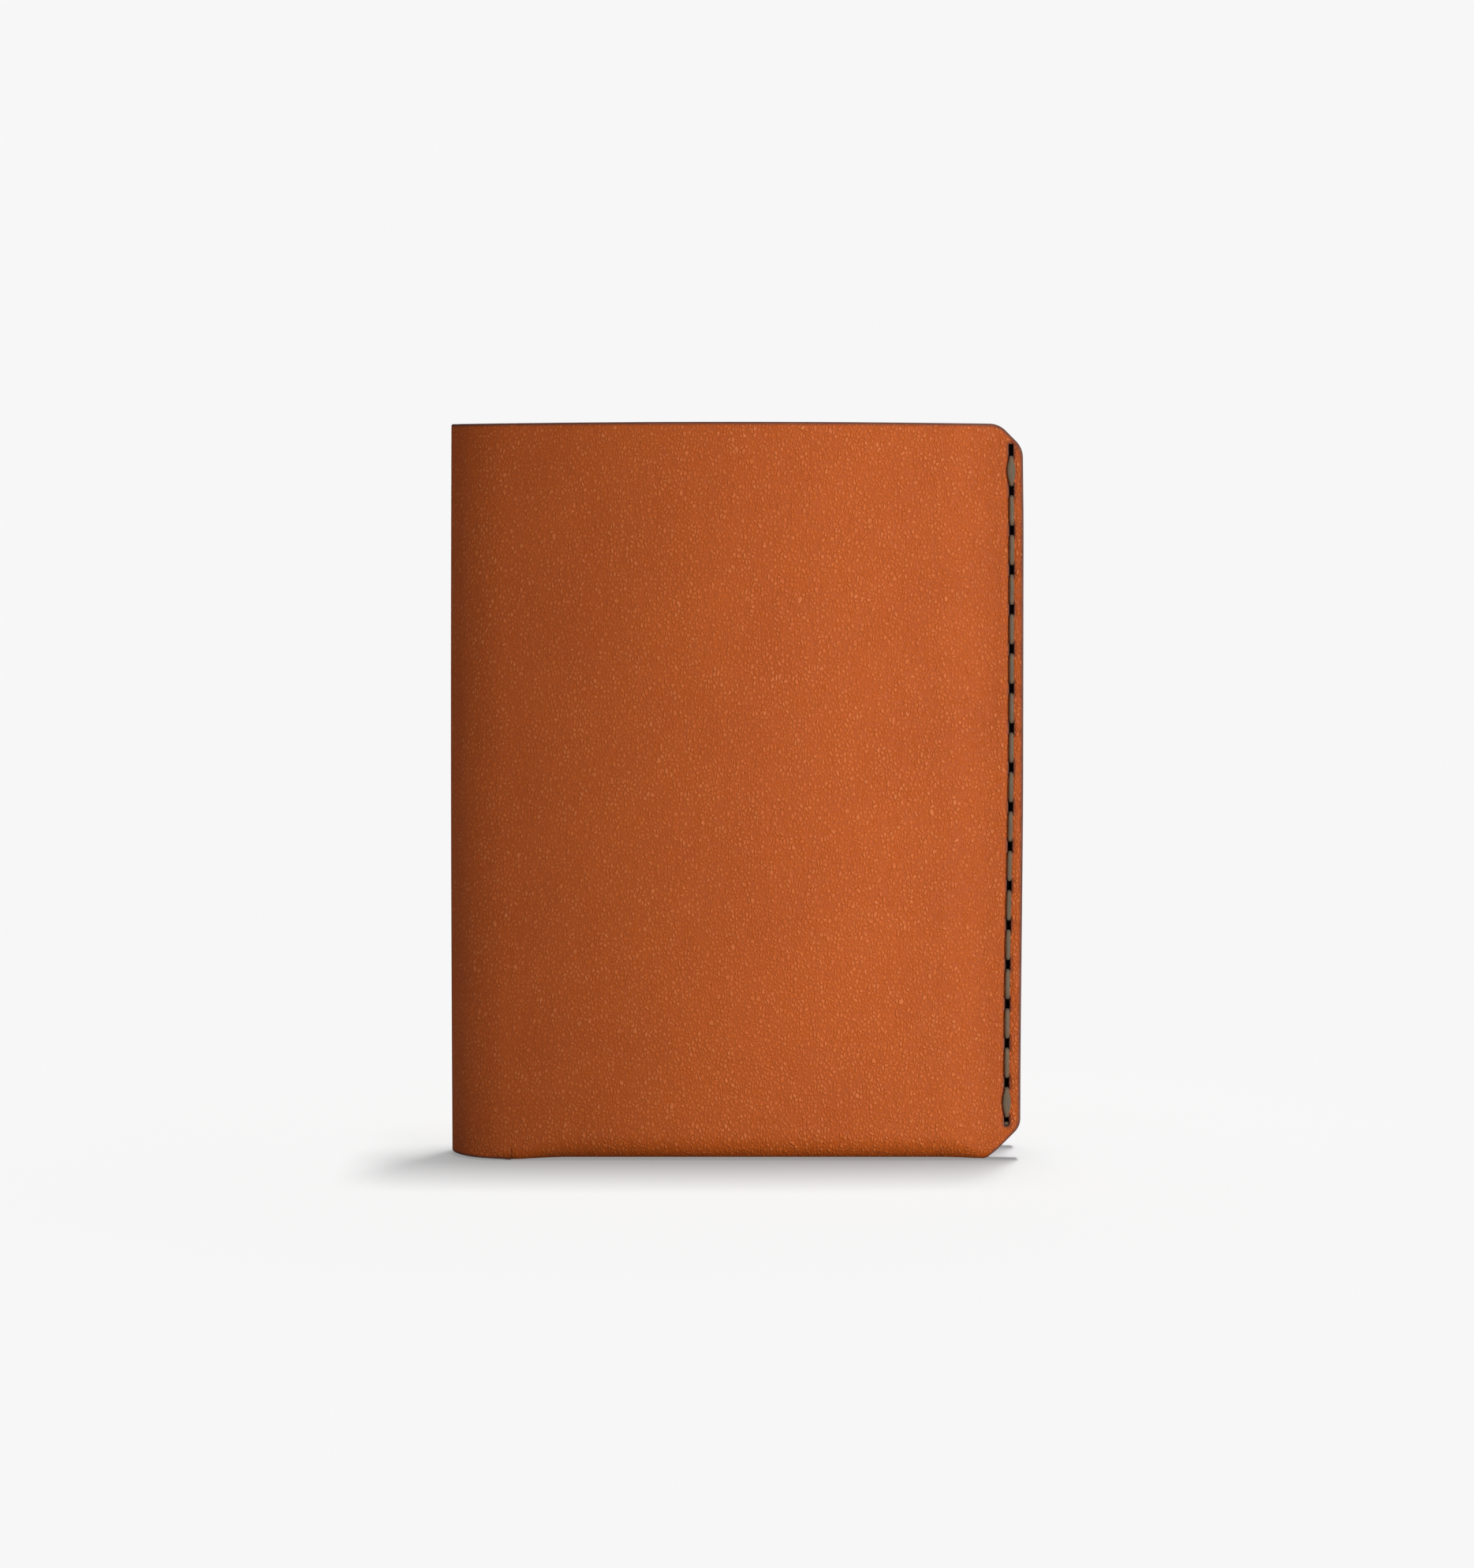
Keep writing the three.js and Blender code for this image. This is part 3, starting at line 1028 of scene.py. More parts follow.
@dataclass
class SpineLeather:
    """The rounded spine, in four stretches that each bend across one fold line."""

    sizes: HolderSizes
    soft: SoftShape
    materials: list[bpy.types.Material]
    edge_round: float = 0.24 * MM
    lifted_part: float = 8.0 * MM
    curl_radius: float = 1.5 * MM
    curl_span: float = 0.65
    curl_rows: int = 10
    row_step: float = 1.0 * MM
    columns: int = 18
    round_steps: int = 4
    bulge: float = 0.12 * MM

    @property
    def rows(self) -> np.ndarray:
        """Heights of the rows of points on the grain side, from the top down.

        Returns:
            The heights.
        """
        top = self.sizes.height - self.edge_round
        low_end = self.curl_radius + self.row_step
        plain = np.linspace(top, low_end, round((top - low_end) / self.row_step) + 1)
        return np.concatenate([plain, np.linspace(low_end, self.edge_round, self.curl_rows + 1)[1:]])

    def section(self) -> list[tuple[float, float, Finish]]:
        """The leather's cut through: (z, offset, finish of what follows), round from the top.

        Returns:
            The points of the cut, as a loop.
        """
        half, r = self.sizes.leather / 2, self.edge_round
        rows = self.rows
        top, bottom = float(rows[0]), float(rows[-1])
        grain = [(float(z), half, Finish.GRAIN) for z in rows[:-1]]
        turn = np.linspace(0, math.pi / 2, self.round_steps + 1)
        under = [(bottom - r * math.sin(a), half - r + r * math.cos(a), Finish.EDGE) for a in turn]
        under += [(z, -offset, Finish.EDGE) for z, offset, _ in reversed(under)]
        flesh = [(float(z), -half, Finish.FLESH) for z in rows[::-1][:-1]]
        over = [(top + r * math.sin(a), -(half - r + r * math.cos(a)), Finish.EDGE) for a in turn]
        over += [(z, -offset, Finish.EDGE) for z, offset, _ in reversed(over)]
        return grain + under[:-1] + flesh + over[:-1]

    def curl(self, turn: float, z: np.ndarray) -> np.ndarray:
        """How far the lower edge curls in beside a cover, as the bottom fold does there.

        Args:
            turn: How far round the spine.
            z: Heights.

        Returns:
            Distances towards the inside.
        """
        beside = smoothstep(1 - min(turn, math.pi - turn) / self.curl_span)
        drop = self.curl_radius - np.clip(z, self.edge_round, self.curl_radius)
        return beside * (self.curl_radius - np.sqrt(self.curl_radius**2 - drop**2))

    def column(self, turn: float, back: float) -> tuple[np.ndarray, np.ndarray, float]:
        """The middle of the leather seen from above.

        Args:
            turn: How far round the spine, from 0 at the front cover to pi at the back cover.
            back: How far before the turn, on the flat of the front cover.

        Returns:
            The point, the direction out of the grain side, and the place along the blank.
        """
        s = self.sizes
        out = np.array([-math.sin(turn), -math.cos(turn)])
        point = np.array([s.turn_x + back, 0.0]) + s.turn_radius * out
        return point, out, (math.pi / 2 - turn) * s.turn_radius + back

    def stretch(self, number: int, name: str, bodies: tuple[str, str]) -> bpy.types.Object:
        """Makes one stretch of the spine.

        Args:
            number: 0 next to the front cover, 3 next to the back cover.
            name: The piece's name.
            bodies: The bodies on its front and back sides.

        Returns:
            The leather, dressed and bending between its bodies.
        """
        s = self.sizes
        turns = np.linspace(number * FOLD_TURN, (number + 1) * FOLD_TURN, self.columns + 1)
        places = [(float(turn), 0.0) for turn in turns]
        straight = s.fold_start - s.turn_x
        if number == 0:
            places.insert(0, (0.0, straight))
        if number == 3:
            places.append((math.pi, straight))
        draft = MeshDraft()
        section = self.section()
        z = np.array([point[0] for point in section])
        offset = np.array([point[1] for point in section])
        rim = np.minimum(s.height - z, z)
        columns = []
        for turn, back in places:
            point, out, along = self.column(turn, back)
            bulge = self.bulge * math.sin(turn) ** 2 * np.sin(math.pi * z / s.height)
            away = (offset + bulge - self.curl(turn, z))[:, None] * out
            low = np.clip(1 - z / self.lifted_part, 0, 1) ** 2
            lift = s.spine_lift * math.sin(min(turn, math.pi - turn)) ** 0.6 * low if turn else 0.0
            level = z + lift + self.soft.raised(point[0], z)
            points = np.column_stack([point + away, level])
            points[:, 1] -= np.sign(math.cos(turn)) * self.soft.swell(point[0], z)
            flat = np.column_stack([np.full(len(z), along), s.height - z, offset])
            columns.append(draft.add(points, flat, rim))
        for first, second in zip(columns, columns[1:]):
            for i in range(len(section)):
                j = (i + 1) % len(section)
                corners = (first[i], second[i], second[j], first[j])
                draft.face(corners, section[i][2])
        if number == 0:
            draft.cap(columns[0], Finish.EDGE, forward=True)
        if number == 3:
            draft.cap(columns[-1], Finish.EDGE, forward=False)
        made = draft.build(name, self.materials, flip=False)
        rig.slot(made, "leather")
        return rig.blend(made, *bodies, *self.blend_span(number))

    def blend_span(self, number: int) -> tuple[Vector, Vector]:
        """Where a stretch starts and stops bending: just inside its two ends.

        Args:
            number: The stretch's number, from the front.

        Returns:
            The two places, in the holder's frame.
        """
        ends = [self.column(FOLD_TURN * (number + side), 0.0)[0] for side in (0, 1)]
        inset = (ends[1] - ends[0]) / np.linalg.norm(ends[1] - ends[0])
        inset *= math.sin(FOLD_TURN / 2) * self.sizes.leather / 2
        start, end = ends[0] + inset, ends[1] - inset
        return Vector((*start, 0.0)), Vector((*end, 0.0))

    def build(self) -> list[bpy.types.Object]:
        """Makes the whole spine.

        Returns:
            Its four stretches, from the front.
        """
        bodies = ["front_half", "spine_front", "spine_middle", "spine_back", "back_half"]
        names = ["spine_front_leather", "spine_front_middle_leather",
                 "spine_back_middle_leather", "spine_back_leather"]
        made = [
            self.stretch(number, name, (bodies[number], bodies[number + 1]))
            for number, name in enumerate(names)
        ]
        for piece, node in zip((made[0], made[1], made[3]), ("front", "middle", "back")):
            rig.replaces(piece, f"spine_{node}_strip")
        return made


# ------------------------------------------------------------------ thread


@dataclass
class SeamThread:
    """The waxed flat thread on one face of one half's seam."""

    sizes: HolderSizes
    fold: LeatherFold
    side: Side
    face: Face
    material: bpy.types.Material
    width: float = 0.60 * MM
    thickness: float = 0.42 * MM
    tied_width: float = 1.04 * MM
    leg_width: float = 0.53 * MM
    sink: float = 0.06 * MM
    bow: float = 0.05 * MM
    top_tuck: float = 0.45
    bottom_tuck: float = 0.12
    bend_share: float = 0.7
    plain_swell: float = 0.35
    tied_swell: float = 0.75
    roundness: float = 0.8
    sides: int = 20
    bend_steps: int = 5
    lying_steps: int = 14

    def route(self) -> tuple[np.ndarray, np.ndarray]:
        """The thread's line from the first hole to the last.

        Returns:
            Points as (height over the face, z), one to a row, and the width at each.
        """
        s = self.sizes
        heights = s.hole_heights
        leg = (s.slot_length - self.thickness) / 2
        tuck = self.top_tuck * s.slot_length
        lying = self.thickness / 2 - self.sink
        deep = -s.leather + self.thickness / 2
        bend = self.bend_share * self.thickness
        points: list[tuple[float, float]] = [(deep, heights[0] + tuck)]
        widths: list[float] = [self.leg_width]
        for number, (top, bottom) in enumerate(zip(heights, heights[1:])):
            tied = number in (0, len(heights) - 2)
            broad = self.tied_width if tied else self.width
            swell = self.tied_swell if tied else self.plain_swell
            start, end = top - leg, bottom + leg
            turn = np.linspace(0, math.pi / 2, self.bend_steps + 1)
            down = [(lying - bend + bend * math.sin(a), start - bend + bend * math.cos(a)) for a in turn]
            up = [(height, start + end - z) for height, z in reversed(down)]
            points.append((deep, start))
            widths.append(self.leg_width)
            points += down
            widths += [self.leg_width] * len(down)
            for share in np.linspace(0, 1, self.lying_steps + 1)[1:-1]:
                rise = self.bow * math.sin(math.pi * share)
                full = math.sin(math.pi * share) ** swell
                points.append((lying + rise, down[-1][1] * (1 - share) + up[0][1] * share))
                widths.append(self.leg_width + (broad - self.leg_width) * full)
            points += up
            widths += [self.leg_width] * len(up)
            points.append((deep, end))
            widths.append(self.leg_width)
        cut_end = heights[-1] - self.bottom_tuck * s.slot_length
        points += [(deep, cut_end), (0.6 * deep, cut_end), (0.3 * deep, cut_end)]
        widths += [self.leg_width] * 3
        return np.array(points), np.array(widths)

    def build(self) -> bpy.types.Object:
        """Makes the strand.

        Returns:
            The thread, dressed and riding on its half.
        """
        s = self.sizes
        line, widths = self.route()
        u = self.fold.soft.stitch_line(line[:, 1])
        if self.face is Face.OUTER:
            surface, out = self.fold.cover_y(u) - s.leather / 2, -1.0
        else:
            surface, out = self.fold.wall_y(u) + s.leather / 2, 1.0
        x = u + self.fold.soft.lean(u, line[:, 1])
        middle = np.column_stack([x, surface + out * line[:, 0], line[:, 1]])
        ahead = np.gradient(middle, axis=0)
        ahead /= np.linalg.norm(ahead, axis=1, keepdims=True)
        across = np.tile(np.array([1.0, 0.0, 0.0]), (len(line), 1))
        thick = np.cross(ahead, across)
        thick /= np.linalg.norm(thick, axis=1, keepdims=True)
        run = np.concatenate([[0], np.cumsum(np.linalg.norm(np.diff(middle, axis=0), axis=1))])
        draft = MeshDraft()
        rows = []
        angles = np.linspace(0, 2 * math.pi, self.sides, endpoint=False)
        cos, sin = np.cos(angles), np.sin(angles)
        flat_cos = np.sign(cos) * np.abs(cos) ** self.roundness
        flat_sin = np.sign(sin) * np.abs(sin) ** self.roundness
        for i, centre in enumerate(middle):
            ring = centre + np.outer(flat_cos * widths[i] / 2, across[i])
            ring = ring + np.outer(flat_sin * self.thickness / 2, thick[i])
            along = np.full(self.sides, run[i])
            place = np.column_stack([sin * widths[i] / 2, along, cos * widths[i] / 2])
            # the thread's rim value is its height over the leather face; the thread's material paints shade by it
            # where the thread goes down into the holes
            rows.append(draft.add(ring, place, self.sink + line[i, 0]))
        for first, second in zip(rows, rows[1:]):
            draft.strip(first, second, THREAD_SLOT, closed=True)
        draft.cap(rows[0], THREAD_SLOT, forward=False)
        draft.cap(rows[-1], THREAD_SLOT, forward=True)
        name = f"{self.side.value}_seam_{self.face.value}_thread"
        made = draft.build(name, [self.material], flip=self.side is Side.BACK)
        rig.replaces(made, f"{self.side.value}_seam_{self.face.value}_strand")
        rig.slot(made, "thread")
        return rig.ride(made, f"{self.side.value}_half")


# ------------------------------------------------------------------ shader wiring


class Board:
    """A node tree being wired: it makes, sets and links nodes in one call."""

    def __init__(self, tree: bpy.types.NodeTree) -> None:
        """Takes the tree to wire."""
        self.tree = tree

    def add(self, kind: str, inputs: dict | None = None, **settings: object) -> bpy.types.Node:
        """Makes a node.

        Args:
            kind: The node's type, such as ShaderNodeMath.
            inputs: Values or sockets for its inputs, by name or number.
            settings: The node's own settings.

        Returns:
            The node.
        """
        node = self.tree.nodes.new(kind)
        for name, value in settings.items():
            setattr(node, name, value)
        for name, value in (inputs or {}).items():
            if isinstance(value, bpy.types.NodeSocket):
                self.tree.links.new(value, node.inputs[name])
            else:
                node.inputs[name].default_value = value
        return node

    def maths(self, operation: str, *values: object) -> bpy.types.NodeSocket:
        """A Math node's result."""
        return self.add("ShaderNodeMath", dict(enumerate(values)), operation=operation).outputs[0]

    def ramp(self, value: object, low: float, high: float, start: float = 0.0, end: float = 1.0
             ) -> bpy.types.NodeSocket:
        """A value taken smoothly from low..high to start..end.

        Args:
            value: The value or socket.
            low: Where the rise starts.
            high: Where it ends.
            start: The result at low.
            end: The result at high.

        Returns:
            The result's socket.
        """
        node = self.add(
            "ShaderNodeMapRange", {0: value, 1: low, 2: high, 3: start, 4: end},
            interpolation_type="SMOOTHSTEP",
        )
        return node.outputs[0]

    def mix(self, share: object, first: object, second: object) -> bpy.types.NodeSocket:
        """Two colours mixed.

        Args:
            share: How much of the second.
            first: A colour or socket.
            second: Another.

        Returns:
            The mixed colour's socket.
        """
        node = self.add("ShaderNodeMix", {0: share}, data_type="RGBA")
        for socket, value in ((node.inputs[6], first), (node.inputs[7], second)):
            if isinstance(value, bpy.types.NodeSocket):
                self.tree.links.new(value, socket)
            else:
                socket.default_value = (*value, 1.0)
        return node.outputs[2]

    def noise(self, place: object, scale: float, detail: float = 2.0, rough: float = 0.5
              ) -> bpy.types.NodeSocket:
        """A noise's grey value."""
        inputs = {"Vector": place, "Scale": scale, "Detail": detail, "Roughness": rough}
        return self.add("ShaderNodeTexNoise", inputs).outputs[0]


def effect_group(
    name: str, inputs: dict[str, tuple[str, float]], outputs: tuple[str, ...]
) -> tuple[bpy.types.NodeTree, Board, bpy.types.Node, bpy.types.Node]:
    """Starts a shader node group with named sockets.

    Args:
        name: The group's name.
        inputs: Socket type and first value of each input, by name.
        outputs: Names of the outputs, all plain values.

    Returns:
        The group, a board to wire it on, and its input and output nodes.
    """
    group = bpy.data.node_groups.new(name, "ShaderNodeTree")
    for label, (kind, value) in inputs.items():
        socket = group.interface.new_socket(label, in_out="INPUT", socket_type=kind)
        if kind == "NodeSocketFloat":
            socket.default_value = value
    for label in outputs:
        group.interface.new_socket(label, in_out="OUTPUT", socket_type="NodeSocketFloat")
    board = Board(group)
    return group, board, board.add("NodeGroupInput"), board.add("NodeGroupOutput")


@dataclass(frozen=True)
class Effects:
    """Shader node groups that several finishes share."""

    clouds: bpy.types.NodeTree
    pebbles: bpy.types.NodeTree
    fibres: bpy.types.NodeTree

    @classmethod
    def make(cls) -> "Effects":
        """Builds every group once."""
        return cls(cls.make_clouds(), cls.make_pebbles(), cls.make_fibres())

    @staticmethod
    def make_clouds() -> bpy.types.NodeTree:
        """Slow changes of tone, as a dye takes unevenly.

        Returns:
            The group.
        """
        group, board, start, end = effect_group(
            "uneven_tone",
            {"Place": ("NodeSocketVector", 0), "Patch": ("NodeSocketFloat", 12.0)},
            ("Tone",),
        )
        scaled = board.add("ShaderNodeVectorMath", {0: start.outputs["Place"]}, operation="SCALE")
        group.links.new(board.maths("DIVIDE", 1.0, start.outputs["Patch"]), scaled.inputs["Scale"])
        tone = board.ramp(board.noise(scaled.outputs[0], 1.0, 4.0, 0.6), 0.25, 0.75)
        group.links.new(tone, end.inputs["Tone"])
        return group

    @staticmethod
    def make_pebbles() -> bpy.types.NodeTree:
        """Fine pebble grain: small cells with soft valleys between them, longer one way.

        Returns:
            The group.
        """
        group, board, start, end = effect_group(
            "pebble_grain",
            {
                "Place": ("NodeSocketVector", 0),
                "Pebble": ("NodeSocketFloat", 0.4),
                "Stretch": ("NodeSocketFloat", 1.5),
                "Wander": ("NodeSocketFloat", 0.35),
            },
            ("Height", "Valley"),
        )
        size = start.outputs["Pebble"]
        long_size = board.maths("MULTIPLY", size, start.outputs["Stretch"])
        cell = board.add("ShaderNodeCombineXYZ", {0: size, 1: long_size, 2: size})
        place = board.add(
            "ShaderNodeVectorMath", {0: start.outputs["Place"], 1: cell.outputs[0]}, operation="DIVIDE"
        )
        drift = board.add(
            "ShaderNodeTexNoise", {"Vector": place.outputs[0], "Scale": 0.8, "Detail": 3.0}
        )
        centred = board.add(
            "ShaderNodeVectorMath", {0: drift.outputs[1], 1: (0.5, 0.5, 0.5)}, operation="SUBTRACT"
        )
        moved = board.add("ShaderNodeVectorMath", {0: centred.outputs[0]}, operation="SCALE")
        reach = board.maths("MULTIPLY", start.outputs["Wander"], 4.0)
        group.links.new(reach, moved.inputs["Scale"])
        wandering = board.add(
            "ShaderNodeVectorMath", {0: place.outputs[0], 1: moved.outputs[0]}, operation="ADD"
        )
        cells = board.add(
            "ShaderNodeTexVoronoi", {"Vector": wandering.outputs[0], "Scale": 1.0},
            feature="DISTANCE_TO_EDGE",
        )
        dome = board.ramp(cells.outputs["Distance"], 0.0, 0.42)
        fine = board.noise(wandering.outputs[0], 3.1, 3.0, 0.6)
        broad = board.noise(place.outputs[0], 0.33, 2.0, 0.5)
        rough = board.maths("MULTIPLY_ADD", fine, 0.55, board.maths("MULTIPLY", broad, 0.6))
        group.links.new(board.maths("MULTIPLY_ADD", dome, 0.6, rough), end.inputs["Height"])
        group.links.new(board.ramp(cells.outputs["Distance"], 0.16, 0.0), end.inputs["Valley"])
        return group

    @staticmethod
    def make_fibres() -> bpy.types.NodeTree:
        """Loose fibres, drawn out one way.

        Returns:
            The group.
        """
        group, board, start, end = effect_group(
            "loose_fibres",
            {
                "Place": ("NodeSocketVector", 0),
                "Fibre": ("NodeSocketFloat", 0.12),
                "Stretch": ("NodeSocketFloat", 4.0),
            },
            ("Height", "Fleck"),
        )
        width = start.outputs["Fibre"]
        length = board.maths("MULTIPLY", width, start.outputs["Stretch"])
        cell = board.add("ShaderNodeCombineXYZ", {0: width, 1: length, 2: width})
        place = board.add(
            "ShaderNodeVectorMath", {0: start.outputs["Place"], 1: cell.outputs[0]}, operation="DIVIDE"
        )
        height = board.add(
            "ShaderNodeTexNoise",
            {
                "Vector": place.outputs[0],
                "Scale": 1.0,
                "Detail": 4.0,
                "Roughness": 0.6,
                "Distortion": 0.6,
            },
        ).outputs[0]
        group.links.new(height, end.inputs["Height"])
        fleck = board.noise(place.outputs[0], 0.45, 2.0, 0.5)
        group.links.new(board.ramp(fleck, 0.52, 0.72), end.inputs["Fleck"])
        return group


class Surface:
    """A material being made: its board, its flat place and its group nodes."""

    def __init__(self, name: str, effects: Effects) -> None:
        """Starts an empty material with the flat place ready to use.

        Args:
            name: The material's name.
            effects: The shared node groups.
        """
        self.effects = effects
        self.material = bpy.data.materials.new(name)
        self.material.use_nodes = True
        self.board = Board(self.material.node_tree)
        self.shader = self.material.node_tree.nodes["Principled BSDF"]
        self.place = self.board.add("ShaderNodeAttribute", attribute_name=PLACE).outputs["Vector"]
        self.rim = self.board.add("ShaderNodeAttribute", attribute_name=RIM).outputs["Fac"]

    def group(self, tree: bpy.types.NodeTree, **values: float) -> bpy.types.Node:
        """Places a shared effect with its own values.

        Args:
            tree: The group.
            values: Its inputs, by name.

        Returns:
            The group's node.
        """
        node = self.board.add("ShaderNodeGroup", node_tree=tree)
        self.board.tree.links.new(self.place, node.inputs["Place"])
        for name, value in values.items():
            node.inputs[name].default_value = value
        return node

    def bump(self, height: bpy.types.NodeSocket, depth: float, under: object = None
             ) -> bpy.types.NodeSocket:
        """Raises the surface by a height times depth, in metres, over an earlier bump.

        Args:
            height: The height's socket.
            depth: How far a height of 1 stands up.
            under: The earlier bump's normal.

        Returns:
            The bumped normal.
        """
        inputs = {"Height": height, "Distance": depth, "Strength": 1.0}
        if under is not None:
            inputs["Normal"] = under
        return self.board.add("ShaderNodeBump", inputs).outputs["Normal"]

    def finish(self, values: dict[str, object]) -> bpy.types.Material:
        """Feeds the shader and returns the material.

        Args:
            values: Values or sockets for the shader's inputs, by name.

        Returns:
            The material.
        """
        for name, value in values.items():
            if isinstance(value, bpy.types.NodeSocket):
                self.board.tree.links.new(value, self.shader.inputs[name])
            else:
                self.shader.inputs[name].default_value = value
        return self.material


@dataclass(frozen=True)
class GrainSide:
    """Smooth tan grain side with a fine pebble, waxed to a soft sheen, with a painted highlight on the pebble tops and
    painted shade in the valleys between them.
    """

    light: Colour = (0.655, 0.119, 0.0045)
    dark: Colour = (0.598, 0.103, 0.003)
    # painted highlight: the colour that the pebble tops are lightened towards
    crest_highlight: Colour = (0.80, 0.26, 0.085)
    # painted shade: the colour that the valleys between the pebbles are darkened towards
    valley_shade: Colour = (0.36, 0.056, 0.006)
    worn: Colour = (0.30, 0.055, 0.010)
    pebble: float = 0.42
    relief: float = 0.16 * MM

    def material(self, effects: Effects) -> bpy.types.Material:
        """Makes the finish.

        Args:
            effects: The shared node groups.

        Returns:
            The material.
        """
        surface = Surface("tan_grain", effects)
        board = surface.board
        tone = surface.group(effects.clouds, Patch=16.0).outputs["Tone"]
        grain = surface.group(effects.pebbles, Pebble=self.pebble, Stretch=1.45, Wander=0.4)
        fibre = surface.group(effects.fibres, Fibre=0.5, Stretch=5.0)
        colour = board.mix(tone, self.dark, self.light)
        # painted shade: the valleys between the pebbles are darkened in the colour itself
        colour = board.mix(board.maths("MULTIPLY", grain.outputs["Valley"], 0.45), colour, self.valley_shade)
        colour = board.mix(board.maths("MULTIPLY", fibre.outputs["Fleck"], 0.18), colour, self.light)
        # painted highlight: the pebble tops are lightened in the colour itself
        colour = board.mix(board.ramp(grain.outputs["Height"], 0.85, 1.3, 0.0, 0.5), colour, self.crest_highlight)
        colour = board.mix(board.ramp(surface.rim, 0.55, 0.25, 0.0, 0.75), colour, self.worn)
        gloss = board.maths("MULTIPLY_ADD", grain.outputs["Valley"], 0.12, 0.43)
        rough = board.maths("MULTIPLY_ADD", tone, 0.06, gloss)
        creases = surface.bump(fibre.outputs["Height"], 0.012 * MM)
        return surface.finish({
            "Base Color": colour,
            "Roughness": rough,
            "Specular IOR Level": 0.5,
            "Normal": surface.bump(grain.outputs["Height"], self.relief, creases),
        })


@dataclass(frozen=True)
class FleshSide:
    """The leather's inside face: paler, fibrous and dull."""

    light: Colour = (0.60, 0.26, 0.10)
    dark: Colour = (0.42, 0.16, 0.055)
    nap: Colour = (0.72, 0.38, 0.17)

    def material(self, effects: Effects) -> bpy.types.Material:
        """Makes the finish.

        Args:
            effects: The shared node groups.

        Returns:
            The material.
        """
        surface = Surface("suede_flesh", effects)
        board = surface.board
        tone = surface.group(effects.clouds, Patch=8.0).outputs["Tone"]
        fibre = surface.group(effects.fibres, Fibre=0.16, Stretch=2.5)
        colour = board.mix(tone, self.dark, self.light)
        fleck = board.maths("MULTIPLY", fibre.outputs["Fleck"], 0.4)
        colour = board.mix(fleck, colour, self.nap)
        return surface.finish({
            "Base Color": colour,
            "Roughness": 0.92,
            "Specular IOR Level": 0.25,
            "Sheen Weight": 0.15,
            "Sheen Roughness": 0.6,
            "Normal": surface.bump(fibre.outputs["Height"], 0.06 * MM),
        })


@dataclass(frozen=True)
class BurnishedEdge:
    """A cut edge rubbed smooth and dark, with the leather's layers just showing."""

    light: Colour = (0.24, 0.085, 0.050)
    dark: Colour = (0.11, 0.038, 0.025)

    def material(self, effects: Effects) -> bpy.types.Material:
        """Makes the finish.

        Args:
            effects: The shared node groups.

        Returns:
            The material.
        """
        surface = Surface("burnished_edge", effects)
        board = surface.board
        tone = surface.group(effects.clouds, Patch=2.5).outputs["Tone"]
        fibre = surface.group(effects.fibres, Fibre=0.10, Stretch=5.0)
        patchy = board.maths("MULTIPLY", tone, 0.4)
        share = board.maths("MULTIPLY_ADD", fibre.outputs["Height"], 0.7, patchy)
        return surface.finish({
            "Base Color": board.mix(share, self.dark, self.light),
            "Roughness": board.maths("MULTIPLY_ADD", fibre.outputs["Height"], 0.3, 0.42),
            "Specular IOR Level": 0.3,
            "Normal": surface.bump(fibre.outputs["Height"], 0.02 * MM),
        })


@dataclass(frozen=True)
class WaxedThread:
    """Flat olive-brown thread, its fibres running lengthwise under wax, with painted shade: near black where it runs
    down into the holes.
    """

    light: Colour = (0.215, 0.150, 0.092)
    dark: Colour = (0.105, 0.070, 0.041)
    # painted shade: the near-black colour of the thread down in the stitch holes
    hole_shade: Colour = (0.01, 0.006, 0.004)

    def material(self, effects: Effects) -> bpy.types.Material:
        """Makes the finish.

        Args:
            effects: The shared node groups.

        Returns:
            The material.
        """
        surface = Surface("waxed_thread", effects)
        board = surface.board
        fibre = surface.group(effects.fibres, Fibre=0.055, Stretch=22.0)
        tone = surface.group(effects.clouds, Patch=1.6).outputs["Tone"]
        patchy = board.maths("MULTIPLY", tone, 0.25)
        share = board.maths("MULTIPLY_ADD", fibre.outputs["Height"], 0.9, patchy)
        # painted shade: the thread turns near black where it lies below the leather face, inside the holes
        shade_in_hole = board.ramp(surface.rim, -0.25, 0.1)
        colour = board.mix(share, self.dark, self.light)
        return surface.finish({
            "Base Color": board.mix(shade_in_hole, self.hole_shade, colour),
            "Roughness": board.maths("MULTIPLY_ADD", fibre.outputs["Height"], 0.3, 0.4),
            "Specular IOR Level": 0.4,
            "Normal": surface.bump(fibre.outputs["Height"], 0.05 * MM),
        })


# ------------------------------------------------------------------ studio


@dataclass(frozen=True)
class Softbox:
    """A flat lamp that faces a point, with a grid that narrows its beam to a spread."""

    name: str
    place: Point
    aim: Point
    width: float
    height: float
    power: float
    spread: float = 180.0
    glossy: bool = True

    def hang(self, lit: bpy.types.Collection) -> bpy.types.Object:
        """Puts the lamp in the scene.

        Args:
            lit: What the lamp lights.

        Returns:
            The lamp.
        """
        lamp = bpy.data.lights.new(self.name, "AREA")
        lamp.shape = "RECTANGLE"
        lamp.size, lamp.size_y = self.width, self.height
        lamp.energy = self.power
        lamp.spread = math.radians(self.spread)
        made = bpy.data.objects.new(self.name, lamp)
        made.location = self.place
        towards = Vector(self.aim) - Vector(self.place)
        made.rotation_euler = towards.to_track_quat("-Z", "Y").to_euler()
        made.visible_glossy = self.glossy
        bpy.context.scene.collection.objects.link(made)
        made.light_linking.receiver_collection = lit
        return made


